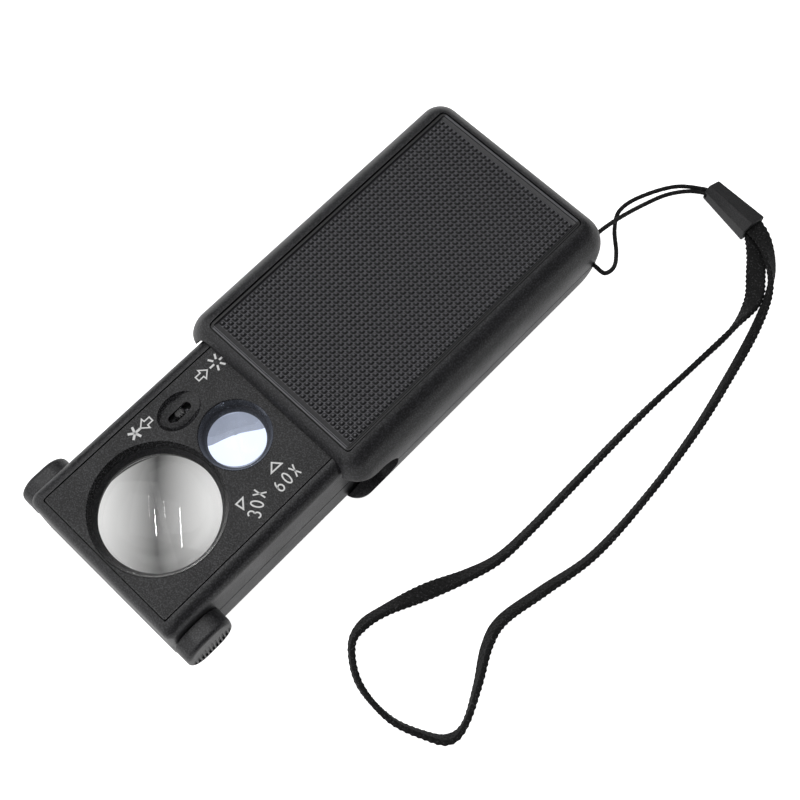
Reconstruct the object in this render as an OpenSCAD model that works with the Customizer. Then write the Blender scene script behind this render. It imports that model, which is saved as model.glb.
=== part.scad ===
// Pocket currency detector: a pull-out illuminated loupe with two lenses in a drawer.
// +Y runs from the open mouth of the sleeve to its back, +Z is up, and the origin is the
// centre of the sleeve's underside. The drawer is drawn at its fully extended position.

/* [Sleeve] */
// Greatest width of the sleeve
body_w = 40; // [39:0.5:42]
// Length of the sleeve along the slide
body_l = 63.3; // [62:0.1:66]
// Thickness of the sleeve
body_t = 21; // [20.8:0.1:23]
// Height of the joint between the two sleeve shells
seam_z = 11.6; // [11.2:0.1:12]
// Corner radius of the sleeve seen from above
corner_r = 4.2; // [3.5:0.1:5]
// Sideways reach of the large rounding along the top edges
top_round_w = 4.6; // [4:0.1:5]
// Height of the large rounding along the top edges
top_round_h = 7; // [6:0.1:8]
// How far the sides draw in from the widest level to the underside
bottom_draw = 2.2; // [1.5:0.1:2.4]
// Width of the textured grip panels
panel_w = 31.4; // [28:0.1:31.4]
// Length of the textured grip panels
panel_l = 55.5; // [50:0.5:55.5]
// Distance from the mouth of the sleeve to the grip panels
panel_from_front = 3.6; // [3.4:0.1:4.6]
// Thickness of the grip panels
panel_t = 0.8; // [0.6:0.1:0.9]

/* [Drawer] */
// Width of the drawer
drawer_w = 32.6; // [32.4:0.1:32.8]
// Length of the drawer
drawer_l = 59.3; // [58:0.1:59.3]
// Height of the drawer's face above the sleeve's underside
drawer_top = 18.2; // [18:0.1:18.4]
// Height of the drawer's underside above the sleeve's underside
drawer_bottom = 2; // [2:0.1:2.2]
// Height of the joint between the two drawer shells
drawer_seam_z = 9.5; // [9:0.1:9.8]
// Travel from fully extended to flush with the sleeve
travel = 35.6; // [34:0.1:35.6]
// Width of the inset face plate
face_w = 27.5; // [27:0.1:27.6]
// Wall thickness of the drawer shells
wall = 1.4; // [1.2:0.1:1.5]
// Length of the pull grips along the slide
grip_l = 9; // [8:0.1:9]
// Distance between the outer ends of the two pull grips
grip_span = 39.2; // [38:0.1:39.4]

/* [Lenses] */
// Diameter of the large lens
large_lens_d = 21; // [20.6:0.1:21.2]
// Visible diameter of the large lens
large_view_d = 19.5; // [18:0.1:19.6]
// Distance from the drawer's front to the centre of the large lens
large_lens_v = 13; // [12.9:0.1:13.1]
// Diameter of the small lens
small_lens_d = 11.6; // [11:0.1:11.8]
// Visible diameter of the small lens
small_view_d = 9.5; // [8.5:0.1:9.6]
// Distance from the drawer's front to the centre of the small lens
small_lens_v = 29.7; // [29.6:0.1:30]

/* [Switch and cells] */
// Travel of the slide switch each way from its middle position
switch_throw = 1.2; // [0.8:0.1:1.3]
// Diameter of a button cell
cell_d = 11.6; // [11.4:0.1:11.6]
// Thickness of a button cell
cell_t = 3.05; // [2.8:0.05:3.05]
// Number of button cells in the stack
cell_count = 3; // [2:1:3]
// Sliding travel that frees the battery door
door_travel = 1.8; // [1:0.1:1.8]

/* [Lanyard] */
// Diameter of the thin cord
cord_d = 0.8; // [0.6:0.1:0.9]
// Width of the woven strap
strap_w = 3.4; // [3:0.1:3.6]
// Thickness of the woven strap
strap_t = 0.9; // [0.7:0.1:1]
// Length of the lanyard connector
connector_l = 10.8; // [10:0.1:11]

/* [Hidden] */
$fn = 96;
hull_fn = 32;
eps = 0.02;

// Levels and walls of the sleeve
mouth_y = -body_l / 2;
back_y = body_l / 2;
cavity_gap = 0.35;
cavity_w = drawer_w + 2 * cavity_gap;
cavity_floor = drawer_bottom - cavity_gap;
cavity_roof = drawer_top + cavity_gap;
back_wall = 1.8;
panel_gap = 0.1;
panel_sink = 0.2;
panel_corner_r = 0.8;
corner_tighten = 0.72;
panel_y = mouth_y + panel_from_front + panel_l / 2;
relief_gap = 1.7;
relief_low = 4;
relief_high = 16;
relief_pitch = 9.4;
relief_first_y = -16;
relief_count = 5;
relief_rib = 1.4;
peg_r = 0.7;
peg_l = 2.4;
peg_gap = 0.03;
peg_x = cavity_w / 2 + 1.5;
peg_front_y = mouth_y + 11;
peg_back_y = back_y - 2;
notch_gap = 0.3;
notch_flare = 1.4;

// Levels and places of the drawer, with v measured back from its front face
drawer_y = mouth_y - travel;
drawer_round = 2.4;
drawer_draw = 0.45;
draft = 0.008;
drawer_corner_r = 1.6;
face_t = 1.25;
face_gap = 0.1;
face_front_v = 1.7;
face_z = drawer_top - face_t;
deck_z = face_z - face_t;
face_l = drawer_l - 2 * face_front_v;
well_flare = 1.25;
floor_z = drawer_bottom + wall;
grip_z = 10.3;
grip_h = 8.6;
grip_corner_r = 3.4;
grip_v = grip_l / 2 + eps;
grip_rim = 0.4;
grip_stub_r = 1.5;
grip_stub_gap = 0.05;
flute_pitch = 0.72;
flute_w = 0.36;
flute_depth = 0.3;
flute_pairs = 5;
flute_top = 0.9;
flute_bottom = -3.6;
stop_x = 14.8;
stop_w = 1;
stop_l = 1.4;
stop_h = 0.7;
stop_y = mouth_y + 2.5;
groove_extra = 0.15;
groove_depth = 0.9;

// Lenses and carrier
large_lens_edge_t = 1.6;
large_lens_curve_r = 30;
small_lens_edge_t = 1.2;
small_lens_curve_r = 10;
lens_gap = 0.05;
carrier_bottom = 10.5;
carrier_top = deck_z - 0.3;
carrier_wall = 0.9;
seat_w = 0.8;

// Switch, board and light sources
switch_x = -9.35;
switch_v = 26.25;
dish_r = 2.9;
dish_len = 2;
dish_deep = 1.9;
slot_w = 1.5;
knob_w = 1.3;
knob_l = 1.9;
knob_sink = 0.7;
board_z = 10.6;
board_t = 1;
board_w = 28.6;
board_front_v = 23.4;
board_back_v = 41;
switch_body_size = [5, 7.4, 2.9];
slot_end_gap = 0.2;
led_x = 10.6;
white_led_v = 27;
uv_led_v = 33.4;
led_r = 1.5;
led_flange_r = 1.75;
led_tip_z = 2.5;
led_body_h = 3.8;
led_flange_h = 0.6;
lead_r = 0.22;
lead_offset = 0.6;

// Cells and battery door
cell_v = 48.6;
cell_z = 4.3;
cell_gap = 0.02;
door_w = 14.2;
door_l = 15;
door_front_v = 41;
door_t = 1;
door_tongue = 0.5;
door_gap = 0.12;
cell_room = 0.3;
door_rib_w = 6;
door_rib_l = 0.5;
door_rib_pitch = 1.1;
door_rib_v = 4;
cell_cap_h = 0.45;
cell_cap_step = 1.1;
contact_w = 2;
contact_t = 0.25;
contact_rise = 0.05;
contact_drop = 0.35;
positive_contact_x = -3.2;
negative_contact_x = 1.2;
resistor_places = [5.2, 9];
resistor_v = 38.6;
resistor_size = [2, 1.25, 0.5];
rest_gap = 0.02;
screw_places = [[-12.4, 3.6], [12.4, 3.6], [-12.4, 55.6], [12.4, 55.6]];
screw_r = 0.8;
screw_hole_gap = 0.05;
screw_head_r = 1.4;
screw_head_h = 0.7;
screw_l = 10;
boss_r = 2;

// Lanyard route, as [x, y, z] of the cord and [x, y, roll] of the strap's middle line
tunnel_r = 0.7;
tunnel_bend_r = 4.2;
tunnel_x = body_w / 2 + 0.6;
tunnel_y = back_y - 0.3;
connector_turn = -7;
connector_nose = 1.3;
connector_w_front = 3.5;
connector_w_back = 5.1;
connector_h_front = 3.5;
connector_h_back = 4.1;
connector_eave_front = 2.6;
connector_eave_back = 3.1;
connector_foot = 0.4;
connector_ridge = 0.15;
connector_ridge_y = -0.7;
connector_lift = 0.05;
knot_r = 1;
knot_gap = 0.06;
knot_x = 24.2;
knot_y = 58.5;
knot_z = 1.6;
knot_h = 1.6;
strand_gap = 0.03;
mouth_half_w = 0.9;
mouth_angle = 50;
mouth_extra = 0.5;
strap_slot_l = 3.4;
strap_slot_low = 0.4;
strap_slot_high = 2.8;
strap_slot_gap = 0.25;
strap_root = 6.6;
strap_exit = 9.9;
cord_sides = 10;
cord_steps = 5;
strap_steps = 4;

cord_side_points = [
  [22.2, 27.7, 10.8], [22.1, 30.6, 9], [20, 34.2, 6.6], [16.4, 38.4, 4.8], [14.3, 42.6, 3.6],
  [15, 48, 2.6], [18.4, 54.8, 1.8]
];
cord_back_points = [
  [16.4, 34.4, 10.7], [16.4, 40, 7.6], [17, 46.2, 4.6], [18.2, 51.4, 2.8], [20.6, 55.5, 1.8]
];
// Point of the flat strap's middle line, from its place along and across the connector
function in_connector(x, y, z) =
  [knot_x + x * cos(connector_turn) - y * sin(connector_turn),
   knot_y + x * sin(connector_turn) + y * cos(connector_turn), 0, z];
strap_points = [
  in_connector(strap_root, 0.05, 2.15), in_connector(strap_exit, 0.1, 2.15),
  [37.6, 55.8, 32, 2.35], [41.3, 52.6, 60, 2.15], [44.1, 48.25, 94, 1.95],
  [46.5, 41.3, 106, 1.9], [48.6, 32, 106, 1.9], [50.8, 19.9, 104, 1.9], [52.2, 6, 102, 1.9],
  [52.4, -8.4, 110, 1.8], [50.3, -18.9, 120, 1.75], [48.7, -27, 120, 1.75], [49.7, -31.9, 113, 1.85],
  [52.9, -37.7, 102, 1.9], [55.5, -43.4, 98, 1.9], [55.3, -46.9, 116, 1.8], [52.4, -49, 109, 1.85],
  [46.4, -51.1, 102, 1.9], [39.2, -50.5, 88, 1.9], [34.1, -47.1, 80, 1.9],
  [32.9, -43.4, 60, 1.75], [33.9, -38.9, 56, 1.75], [36.5, -32.2, 33, 1.4],
  [39.5, -25.7, 50, 1.65], [41.4, -20, 61, 1.8], [41.9, -13, 68, 1.85], [42, -1, 71, 1.85],
  [42.2, 15, 75, 1.9], [43, 29, 82, 1.9], [43.5, 39, 82, 1.9], [42.7, 45.85, 40, 1.6],
  [39.5, 51, 16, 1.1], [37, 54.3, 5, 1],
  in_connector(strap_exit, -0.2, 1.02), in_connector(strap_root, -0.05, 1.02)
];

// ---------------------------------------------------------------- shape helpers

// Rectangle with round corners, centred, w across and l along
module round_rect(w, l, r) {
  union() {
    square([w - 2 * r, l], center = true);
    square([w, l - 2 * r], center = true);
    for (sx = [-1, 1], sy = [-1, 1])
      translate([sx * (w / 2 - r), sy * (l / 2 - r)]) circle(r);
  }
}

// How far the sleeve's outline stands inside its widest level at height z
function top_inset(z) =
  let (rise = (z - (body_t - top_round_h)) / top_round_h)
  rise <= 0 ? 0 : top_round_w * (1 - sqrt(max(0, 1 - rise * rise)));
function low_inset(z) =
  let (fall = 1 - z / (body_t - top_round_h))
  fall <= 0 ? 0 : bottom_draw * fall * fall;
function sleeve_inset(z) = top_inset(z) + low_inset(z);

// The plan corners tighten as the top rounding draws in, down to the panel's corners
function sleeve_corner(inset) = max(panel_corner_r, corner_r - corner_tighten * inset);

// Levels that follow the rounding closely near the top
sleeve_levels = concat(
  [for (i = [0:4]) i * (body_t - top_round_h) / 4],
  [for (i = [1:7]) body_t - top_round_h * (1 - sin(i * 90 / 7))]
);

module sleeve_block() {
  hull()
    for (z = sleeve_levels)
      let (inset = sleeve_inset(z))
        translate([0, 0, min(z, body_t - eps)])
          linear_extrude(eps)
            round_rect(body_w - 2 * inset, body_l - 2 * inset, sleeve_corner(inset),
                       $fn = hull_fn);
}

// The drawer's sides have a slight moulding draft away from its seam
function drawer_inset(z) =
  let (rise = (z - (drawer_top - drawer_round)) / drawer_round,
       fall = 1 - (z - drawer_bottom) / 3)
  draft * abs(z - drawer_seam_z)
  + (rise > 0 ? (drawer_round - draft * drawer_round) * (1 - sqrt(max(0, 1 - rise * rise))) : 0)
  + (fall > 0 ? drawer_draw * fall * fall : 0);

drawer_levels = concat(
  [drawer_bottom, drawer_bottom + 1, drawer_bottom + 3, drawer_seam_z],
  [for (i = [0:5]) drawer_top - drawer_round * (1 - sin(i * 90 / 5))]
);

// Outer form of the closed drawer, with v = 0 at its front face
module drawer_block() {
  hull()
    for (z = drawer_levels)
      let (inset = drawer_inset(z))
        translate([0, drawer_l / 2, min(z, drawer_top - eps)])
          linear_extrude(eps)
            round_rect(drawer_w - 2 * inset, drawer_l - 2 * inset, drawer_corner_r,
                       $fn = hull_fn);
}

// Places a drawer part, drawn with v from the drawer's front face, at the extended position
module in_drawer() {
  translate([0, drawer_y, 0]) children();
}

// Solid rod from one height to another
module rod(x, v, r, low, high) {
  translate([x, v, low]) cylinder(r = r, h = high - low);
}

// Point at t in 0..1 between p1 and p2 on a smooth curve through four points
function spline(p0, p1, p2, p3, t) =
  0.5 * (2 * p1 + (p2 - p0) * t + (2 * p0 - 5 * p1 + 4 * p2 - p3) * t * t
         + (3 * p1 - p0 - 3 * p2 + p3) * t * t * t);
function smooth_path(points, steps) =
  let (n = len(points))
  concat(
    [for (i = [0:n - 2], k = [0:steps - 1])
      spline(points[max(i - 1, 0)], points[i], points[i + 1], points[min(i + 2, n - 1)],
             k / steps)],
    [points[n - 1]]);
function unit(v) = v / norm(v);
function along(path, i) =
  let (step = path[min(i + 1, len(path) - 1)] - path[max(i - 1, 0)])
  unit([step[0], step[1], len(step) > 2 ? step[2] : 0]);

// Closed skin over a row of rings that all have the same number of points
module skin(rings) {
  sides = len(rings[0]);
  last = len(rings) - 1;
  polyhedron(
    points = [for (ring = rings) each ring],
    faces = concat(
      [[for (k = [0:sides - 1]) k]],
      [for (i = [0:last - 1], k = [0:sides - 1])
        [i * sides + k, (i + 1) * sides + k, (i + 1) * sides + (k + 1) % sides]],
      [for (i = [0:last - 1], k = [0:sides - 1])
        [i * sides + k, (i + 1) * sides + (k + 1) % sides, i * sides + (k + 1) % sides]],
      [[for (k = [sides - 1:-1:0]) last * sides + k]]
    )
  );
}

// Ring of the round cord
function cord_ring(path, i) =
  let (dir = along(path, i),
       side = unit(cross(dir, [0, 0, 1])),
       up = cross(side, dir))
  [for (k = [0:cord_sides - 1])
    let (a = 360 * k / cord_sides)
    path[i] + cord_d / 2 * (side * cos(a) - up * sin(a))];

// Ring of the flat strap; each path point is [x, y, roll, z]
function strap_ring(path, i) =
  let (dir = along([for (p = path) [p[0], p[1], 0]], i),
       side = [dir[1], -dir[0], 0],
       roll = path[i][2],
       wide = side * cos(roll) + [0, 0, sin(roll)],
       thin = [0, 0, cos(roll)] - side * sin(roll),
       middle = [path[i][0], path[i][1], path[i][3]])
  [for (c = [[-1, -1], [-1, 1], [1, 1], [1, -1]])
    middle + wide * c[0] * strap_w / 2 + thin * c[1] * strap_t / 2];

// ---------------------------------------------------------------- sleeve

// Cord tunnel that runs round the back right corner post at the seam
module cord_tunnel(r) {
  translate([tunnel_x, tunnel_y, seam_z]) {
    rotate([0, 0, 180])
      rotate_extrude(angle = 90)
        translate([tunnel_bend_r, 0]) circle(r);
    translate([-tunnel_bend_r, 0, 0]) rotate([-90, 0, 0]) cylinder(r = r, h = 2);
    translate([0, -tunnel_bend_r, 0]) rotate([0, 90, 0]) cylinder(r = r, h = 2);
  }
}

// Slot at the mouth that lets the pull grips sink into the sleeve's sides
module grip_notch() {
  notch_h = grip_h + 2 * notch_gap;
  notch_back = grip_v + grip_l / 2 + notch_gap;
  rotate([90, 0, 90])
    translate([mouth_y, grip_z, -body_w])
      linear_extrude(2 * body_w) {
        translate([notch_back / 2, 0]) round_rect(notch_back, notch_h, grip_corner_r + notch_gap);
        translate([0, -notch_h / 2]) square([notch_back / 2, notch_h]);
        polygon([[notch_back / 2, -notch_h / 2], [notch_back / 2, notch_h / 2],
                 [-1, notch_h / 2 + notch_flare], [-1, -notch_h / 2 - notch_flare]]);
      }
}

module panel_recess(low, high, grow) {
  translate([0, panel_y, low])
    linear_extrude(high - low)
      round_rect(panel_w + 2 * grow, panel_l + 2 * grow, panel_corner_r);
}

// Lightening pockets in the thick side walls, with ribs left between them
module side_reliefs() {
  for (side = [-1, 1], i = [0:relief_count - 1])
    translate([side * cavity_w / 2, relief_first_y + i * relief_pitch,
               (relief_low + relief_high) / 2])
      cube([2 * relief_gap, relief_pitch - relief_rib, relief_high - relief_low], center = true);
}

module peg_set(r, low, high) {
  for (side = [-1, 1], y = [peg_front_y, peg_back_y])
    translate([side * peg_x, y, low])
      cylinder(r = r, h = high - low);
}

module sleeve_walls() {
  difference() {
    sleeve_block();
    translate([-cavity_w / 2, mouth_y - 1, cavity_floor])
      cube([cavity_w, body_l - back_wall + 1, cavity_roof - cavity_floor]);
    side_reliefs();
    grip_notch();
    cord_tunnel(tunnel_r);
    panel_recess(body_t - panel_t - panel_sink, body_t + 1, panel_gap);
    panel_recess(-1, panel_t + panel_sink, panel_gap);
  }
}

module sleeve_top_shell() {
  color([0.05, 0.05, 0.055]) {
    difference() {
      sleeve_walls();
      translate([-body_w, -body_l, -1]) cube([2 * body_w, 2 * body_l, seam_z + 1]);
    }
    peg_set(peg_r, seam_z - peg_l, seam_z + 0.5);
  }
}

module sleeve_bottom_shell() {
  color([0.05, 0.05, 0.055]) {
    difference() {
      sleeve_walls();
      translate([-body_w, -body_l, seam_z]) cube([2 * body_w, 2 * body_l, body_t]);
      peg_set(peg_r + peg_gap, seam_z - peg_l - 0.3, seam_z + 1);
    }
    for (side = [-1, 1])
      translate([side * stop_x - stop_w / 2, stop_y, cavity_floor - 0.2])
        cube([stop_w, stop_l, 0.2 + drawer_bottom + stop_h - cavity_floor]);
  }
}

module grip_panel(low) {
  color([0.07, 0.07, 0.075])
    panel_recess(low, low + panel_t, 0);
}

module grip_panel_top() { grip_panel(body_t - panel_t - panel_sink); }
module grip_panel_bottom() { grip_panel(panel_sink); }

// ---------------------------------------------------------------- drawer

// Tapered lens well from the face down to the deck's underside
module lens_well(v, view_d) {
  translate([0, v, deck_z])
    cylinder(r1 = view_d / 2, r2 = view_d / 2 + well_flare, h = drawer_top - deck_z);
  rod(0, v, view_d / 2, deck_z - 1, deck_z + eps);
  rod(0, v, view_d / 2 + well_flare, drawer_top - eps, drawer_top + 1);
}

module lens_wells() {
  lens_well(large_lens_v, large_view_d);
  lens_well(small_lens_v, small_view_d);
}

module screw_bosses(low, high) {
  for (p = screw_places) rod(p[0], p[1], boss_r, low, high);
}

module screw_holes(r, low, high) {
  for (p = screw_places) rod(p[0], p[1], r, low, high);
}

// Stadium prism along the slide, round at both ends
module stadium(x, v, r, len, low, high) {
  for (end = [-1, 1]) rod(x, v + end * len / 2, r, low, high);
  translate([x - r, v - len / 2, low]) cube([2 * r, len, high - low]);
}

module switch_slot(low, high) {
  stadium(switch_x, switch_v, slot_w / 2,
          2 * (switch_throw + slot_end_gap) + knob_l - slot_w, low, high);
}

// Holes in both side walls that take the stubs of the pull grips
module grip_bores(r) {
  for (side = [-1, 1])
    translate([side * (drawer_w / 2 - wall / 2), grip_v, grip_z])
      rotate([0, 90, 0])
        cylinder(r = r, h = wall + 1, center = true);
}

module drawer_top_shell() {
  color([0.06, 0.06, 0.065]) in_drawer()
    difference() {
      union() {
        difference() {
          drawer_block();
          translate([-drawer_w / 2 + wall, wall, 0])
            cube([drawer_w - 2 * wall, drawer_l - 2 * wall, deck_z]);
        }
        screw_bosses(drawer_seam_z, deck_z + eps);
      }
      translate([-drawer_w, -1, 0]) cube([2 * drawer_w, drawer_l + 2, drawer_seam_z]);
      translate([-face_w / 2 - face_gap, face_front_v - face_gap, face_z])
        cube([face_w + 2 * face_gap, face_l + 2 * face_gap, 4]);
      lens_wells();
      stadium(switch_x, switch_v, dish_r, dish_len, deck_z - 1, face_z + 1);
      screw_holes(screw_r + screw_hole_gap, 0, deck_z - 0.6);
      grip_bores(grip_stub_r + grip_stub_gap);
    }
}

module drawer_bottom_shell() {
  color([0.06, 0.06, 0.065]) in_drawer()
    difference() {
      union() {
        difference() {
          drawer_block();
          translate([-drawer_w / 2 + wall, wall, floor_z])
            cube([drawer_w - 2 * wall, drawer_l - 2 * wall, body_t]);
        }
        rod(0, large_lens_v, large_view_d / 2 + 1, floor_z - 1, drawer_seam_z);
        rod(0, small_lens_v, small_view_d / 2 + 1, floor_z - 1, drawer_seam_z);
        screw_bosses(floor_z - 1, drawer_seam_z);
      }
      translate([-drawer_w, -1, drawer_seam_z]) cube([2 * drawer_w, drawer_l + 2, body_t]);
      rod(0, large_lens_v, large_view_d / 2, 0, body_t);
      rod(0, small_lens_v, small_view_d / 2, 0, body_t);
      for (v = [white_led_v, uv_led_v]) rod(led_x, v, led_r + 0.15, 0, floor_z + 1);
      for (side = [-1, 1])
        translate([side * stop_x - stop_w / 2 - 0.1, stop_y - mouth_y - groove_extra, 0])
          cube([stop_w + 0.2, travel + stop_l + 2 * groove_extra,
                drawer_bottom + groove_depth]);
      door_space();
      screw_holes(screw_r + 0.2, 0, body_t);
      screw_holes(screw_head_r + 0.15, 0, drawer_bottom + screw_head_h + 0.05);
      grip_bores(grip_stub_r + grip_stub_gap);
    }
}

// Room for the battery door, its side tongues and its sliding travel
module door_space() {
  free_l = door_l + door_travel + 2 * door_gap;
  translate([-door_w / 2 - door_gap, door_front_v - door_gap, 0])
    cube([door_w + 2 * door_gap, free_l, drawer_bottom + door_t + door_gap]);
  translate([-door_w / 2 - door_tongue - door_gap, door_front_v - door_gap,
             drawer_bottom + door_t / 2 - door_gap])
    cube([door_w + 2 * (door_tongue + door_gap), free_l, door_t / 2 + 2 * door_gap]);
  translate([-cell_d / 2 - cell_room, cell_v - cell_d / 2 - cell_room, 0])
    cube([cell_d + 2 * cell_room, cell_d + 2 * cell_room, floor_z + 1]);
}

module battery_door() {
  color([0.06, 0.06, 0.065]) in_drawer()
    difference() {
      union() {
        translate([-door_w / 2, door_front_v, drawer_bottom]) cube([door_w, door_l, door_t]);
        translate([-door_w / 2 - door_tongue, door_front_v, drawer_bottom + door_t / 2])
          cube([door_w + 2 * door_tongue, door_l, door_t / 2]);
      }
      for (i = [-2:2])
        translate([-door_rib_w / 2, door_front_v + door_rib_v + i * door_rib_pitch,
                   drawer_bottom - 1])
          cube([door_rib_w, door_rib_l, 1.3]);
    }
}

module face_plate() {
  color([0.09, 0.09, 0.095]) in_drawer()
    difference() {
      translate([0, face_front_v + face_l / 2, face_z])
        linear_extrude(face_t) square([face_w, face_l], center = true);
      lens_wells();
      // Dish round the switch: an oval bowl with a slot in its floor
      stadium(switch_x, switch_v, dish_r - 0.5, dish_len, face_z + 0.35, drawer_top + 1);
      switch_slot(face_z - 1, drawer_top);
    }
}

// One pull grip: a round-cornered block with a stub that plugs into the drawer's side
module pull_grip(side) {
  reach = (grip_span - drawer_w) / 2;
  color([0.05, 0.05, 0.055]) in_drawer()
    translate([0, grip_v, grip_z])
      rotate([90, 0, 90])
        mirror([0, 0, side < 0 ? 1 : 0])
          translate([0, 0, drawer_w / 2])
            difference() {
              union() {
                translate([0, 0, eps])
                  linear_extrude(reach - grip_rim) round_rect(grip_l, grip_h, grip_corner_r);
                linear_extrude(reach)
                  round_rect(grip_l - 2 * grip_rim, grip_h - 2 * grip_rim,
                             grip_corner_r - grip_rim);
                translate([0, 0, -wall - 0.2]) cylinder(r = grip_stub_r, h = wall + 1);
              }
              // Upright flutes in the lower half of the outer end
              for (i = [-flute_pairs:flute_pairs])
                translate([i * flute_pitch - flute_w / 2, flute_bottom, reach - flute_depth])
                  cube([flute_w, flute_top - flute_bottom, 1]);
            }
}

module left_pull_grip() { pull_grip(-1); }
module right_pull_grip() { pull_grip(1); }

// ---------------------------------------------------------------- optics

// How far a lens face stands beyond the rim of the lens at radius r
function lens_bulge(d, curve_r, r) =
  sqrt(curve_r * curve_r - r * r) - sqrt(curve_r * curve_r - d * d / 4);

// Height of the upper rim of a lens whose face just clears the deck at the edge of the view
function lens_rim(d, curve_r, view_d) =
  deck_z - lens_gap - lens_bulge(d, curve_r, view_d / 2);

large_lens_rim = lens_rim(large_lens_d, large_lens_curve_r, large_view_d);
small_lens_rim = lens_rim(small_lens_d, small_lens_curve_r, small_view_d);

// Lens with two equal round faces, drawn with its upper rim at height rim
module lens(v, d, edge_t, curve_r, rim) {
  half = sqrt(curve_r * curve_r - d * d / 4);
  translate([0, v, rim - edge_t / 2])
    intersection() {
      translate([0, 0, edge_t / 2 - half]) sphere(curve_r, $fn = 128);
      translate([0, 0, half - edge_t / 2]) sphere(curve_r, $fn = 128);
      cylinder(r = d / 2, h = curve_r, center = true);
    }
}

module large_lens() {
  color([0.85, 0.9, 0.92, 0.4]) in_drawer()
    lens(large_lens_v, large_lens_d, large_lens_edge_t, large_lens_curve_r, large_lens_rim);
}

module small_lens() {
  color([0.85, 0.9, 0.95, 0.4]) in_drawer()
    lens(small_lens_v, small_lens_d, small_lens_edge_t, small_lens_curve_r, small_lens_rim);
}

// Stepped bore that a lens drops into from above until its lower face meets the seat
module lens_seat(v, d, edge_t, curve_r, rim) {
  seat_r = d / 2 - seat_w;
  seat_z = rim - edge_t - lens_bulge(d, curve_r, seat_r) - lens_gap;
  rod(0, v, seat_r, 0, body_t);
  rod(0, v, d / 2 + lens_gap, seat_z, body_t);
}

// Moulded figure-eight frame that holds both lenses
module lens_carrier() {
  color([0.07, 0.07, 0.07]) in_drawer()
    difference() {
      union() {
        rod(0, large_lens_v, large_lens_d / 2 + carrier_wall, carrier_bottom, carrier_top);
        rod(0, small_lens_v, small_lens_d / 2 + carrier_wall, carrier_bottom, carrier_top);
      }
      lens_seat(large_lens_v, large_lens_d, large_lens_edge_t, large_lens_curve_r,
                large_lens_rim);
      lens_seat(small_lens_v, small_lens_d, small_lens_edge_t, small_lens_curve_r,
                small_lens_rim);
      screw_holes(boss_r + 0.1, 0, body_t);
    }
}

// ---------------------------------------------------------------- electrics

// Light-emitting diode that shines down through the drawer's floor
module led(v) {
  flange_z = led_tip_z + led_r + led_body_h;
  translate([led_x, v, 0]) {
    translate([0, 0, led_tip_z + led_r]) sphere(led_r);
    translate([0, 0, led_tip_z + led_r]) cylinder(r = led_r, h = led_body_h);
    translate([0, 0, flange_z - led_flange_h]) cylinder(r = led_flange_r, h = led_flange_h);
    for (side = [-1, 1])
      translate([side * lead_offset, 0, flange_z - 0.5])
        cylinder(r = lead_r, h = board_z + board_t + 0.8 - flange_z);
  }
}

module white_led() { color([0.92, 0.92, 0.86]) in_drawer() led(white_led_v); }
module uv_led() { color([0.6, 0.5, 0.85]) in_drawer() led(uv_led_v); }

// U-shaped board round the small lens
module circuit_board() {
  color([0.1, 0.3, 0.16]) in_drawer()
    difference() {
      translate([-board_w / 2, board_front_v, board_z])
        cube([board_w, board_back_v - board_front_v, board_t]);
      rod(0, large_lens_v, large_lens_d / 2 + carrier_wall + 0.3, 0, body_t);
      rod(0, small_lens_v, small_lens_d / 2 + carrier_wall + 0.3, 0, body_t);
      translate([-small_lens_d / 2 - 1, board_front_v - 1, 0])
        cube([small_lens_d + 2, small_lens_v - board_front_v + 1, body_t]);
      for (v = [white_led_v, uv_led_v], side = [-1, 1])
        rod(led_x + side * lead_offset, v, lead_r + 0.08, 0, body_t);
      for (side = [-1, 1]) rod(side * 2.2, board_back_v - 1.2, 0.4, 0, body_t);
    }
}

// Two surface-mounted resistors on the board's rear bar
module resistors() {
  color([0.12, 0.12, 0.12]) in_drawer()
    for (x = resistor_places)
      translate([x, resistor_v, board_z + board_t + rest_gap]) cube(resistor_size);
}

module switch_body() {
  size = switch_body_size;
  base = board_z + board_t + rest_gap;
  color([0.75, 0.75, 0.73]) in_drawer()
    difference() {
      translate([switch_x - size[0] / 2, switch_v - size[1] / 2, base]) cube(size);
      switch_slot(base + 0.8, body_t);
    }
}

// Sliding knob of the switch, at its middle position
module switch_knob() {
  base = board_z + board_t + 1;
  color([0.05, 0.05, 0.05]) in_drawer()
    stadium(switch_x, switch_v, knob_w / 2, knob_l - knob_w, base, drawer_top - knob_sink);
}

// Stack of button cells, each a can with a smaller insulated cap below it
module button_cells() {
  color([0.78, 0.78, 0.76]) in_drawer()
    for (i = [0:cell_count - 1])
      translate([0, cell_v, cell_z + i * cell_t]) {
        translate([0, 0, cell_cap_h])
          cylinder(r = cell_d / 2, h = cell_t - cell_cap_h - cell_gap);
        cylinder(r = cell_d / 2 - cell_cap_step, h = cell_cap_h + eps);
      }
}

module positive_contact() {
  top = cell_z + cell_count * cell_t + contact_rise;
  base = board_z + board_t + rest_gap;
  color([0.82, 0.72, 0.4]) in_drawer()
    translate([positive_contact_x, board_back_v - 1.6, 0]) {
      translate([0, 0, top]) cube([contact_w, cell_v - board_back_v + 5, contact_t]);
      translate([0, 0, base]) cube([contact_w, contact_t, top - base + eps]);
    }
}

module negative_contact() {
  low = cell_z - contact_drop;
  color([0.82, 0.72, 0.4]) in_drawer()
    translate([negative_contact_x, board_back_v - 0.4, low]) {
      cube([contact_w, cell_v - board_back_v + 4, contact_t]);
      cube([contact_w, contact_t, board_z - low - rest_gap]);
    }
}

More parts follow.
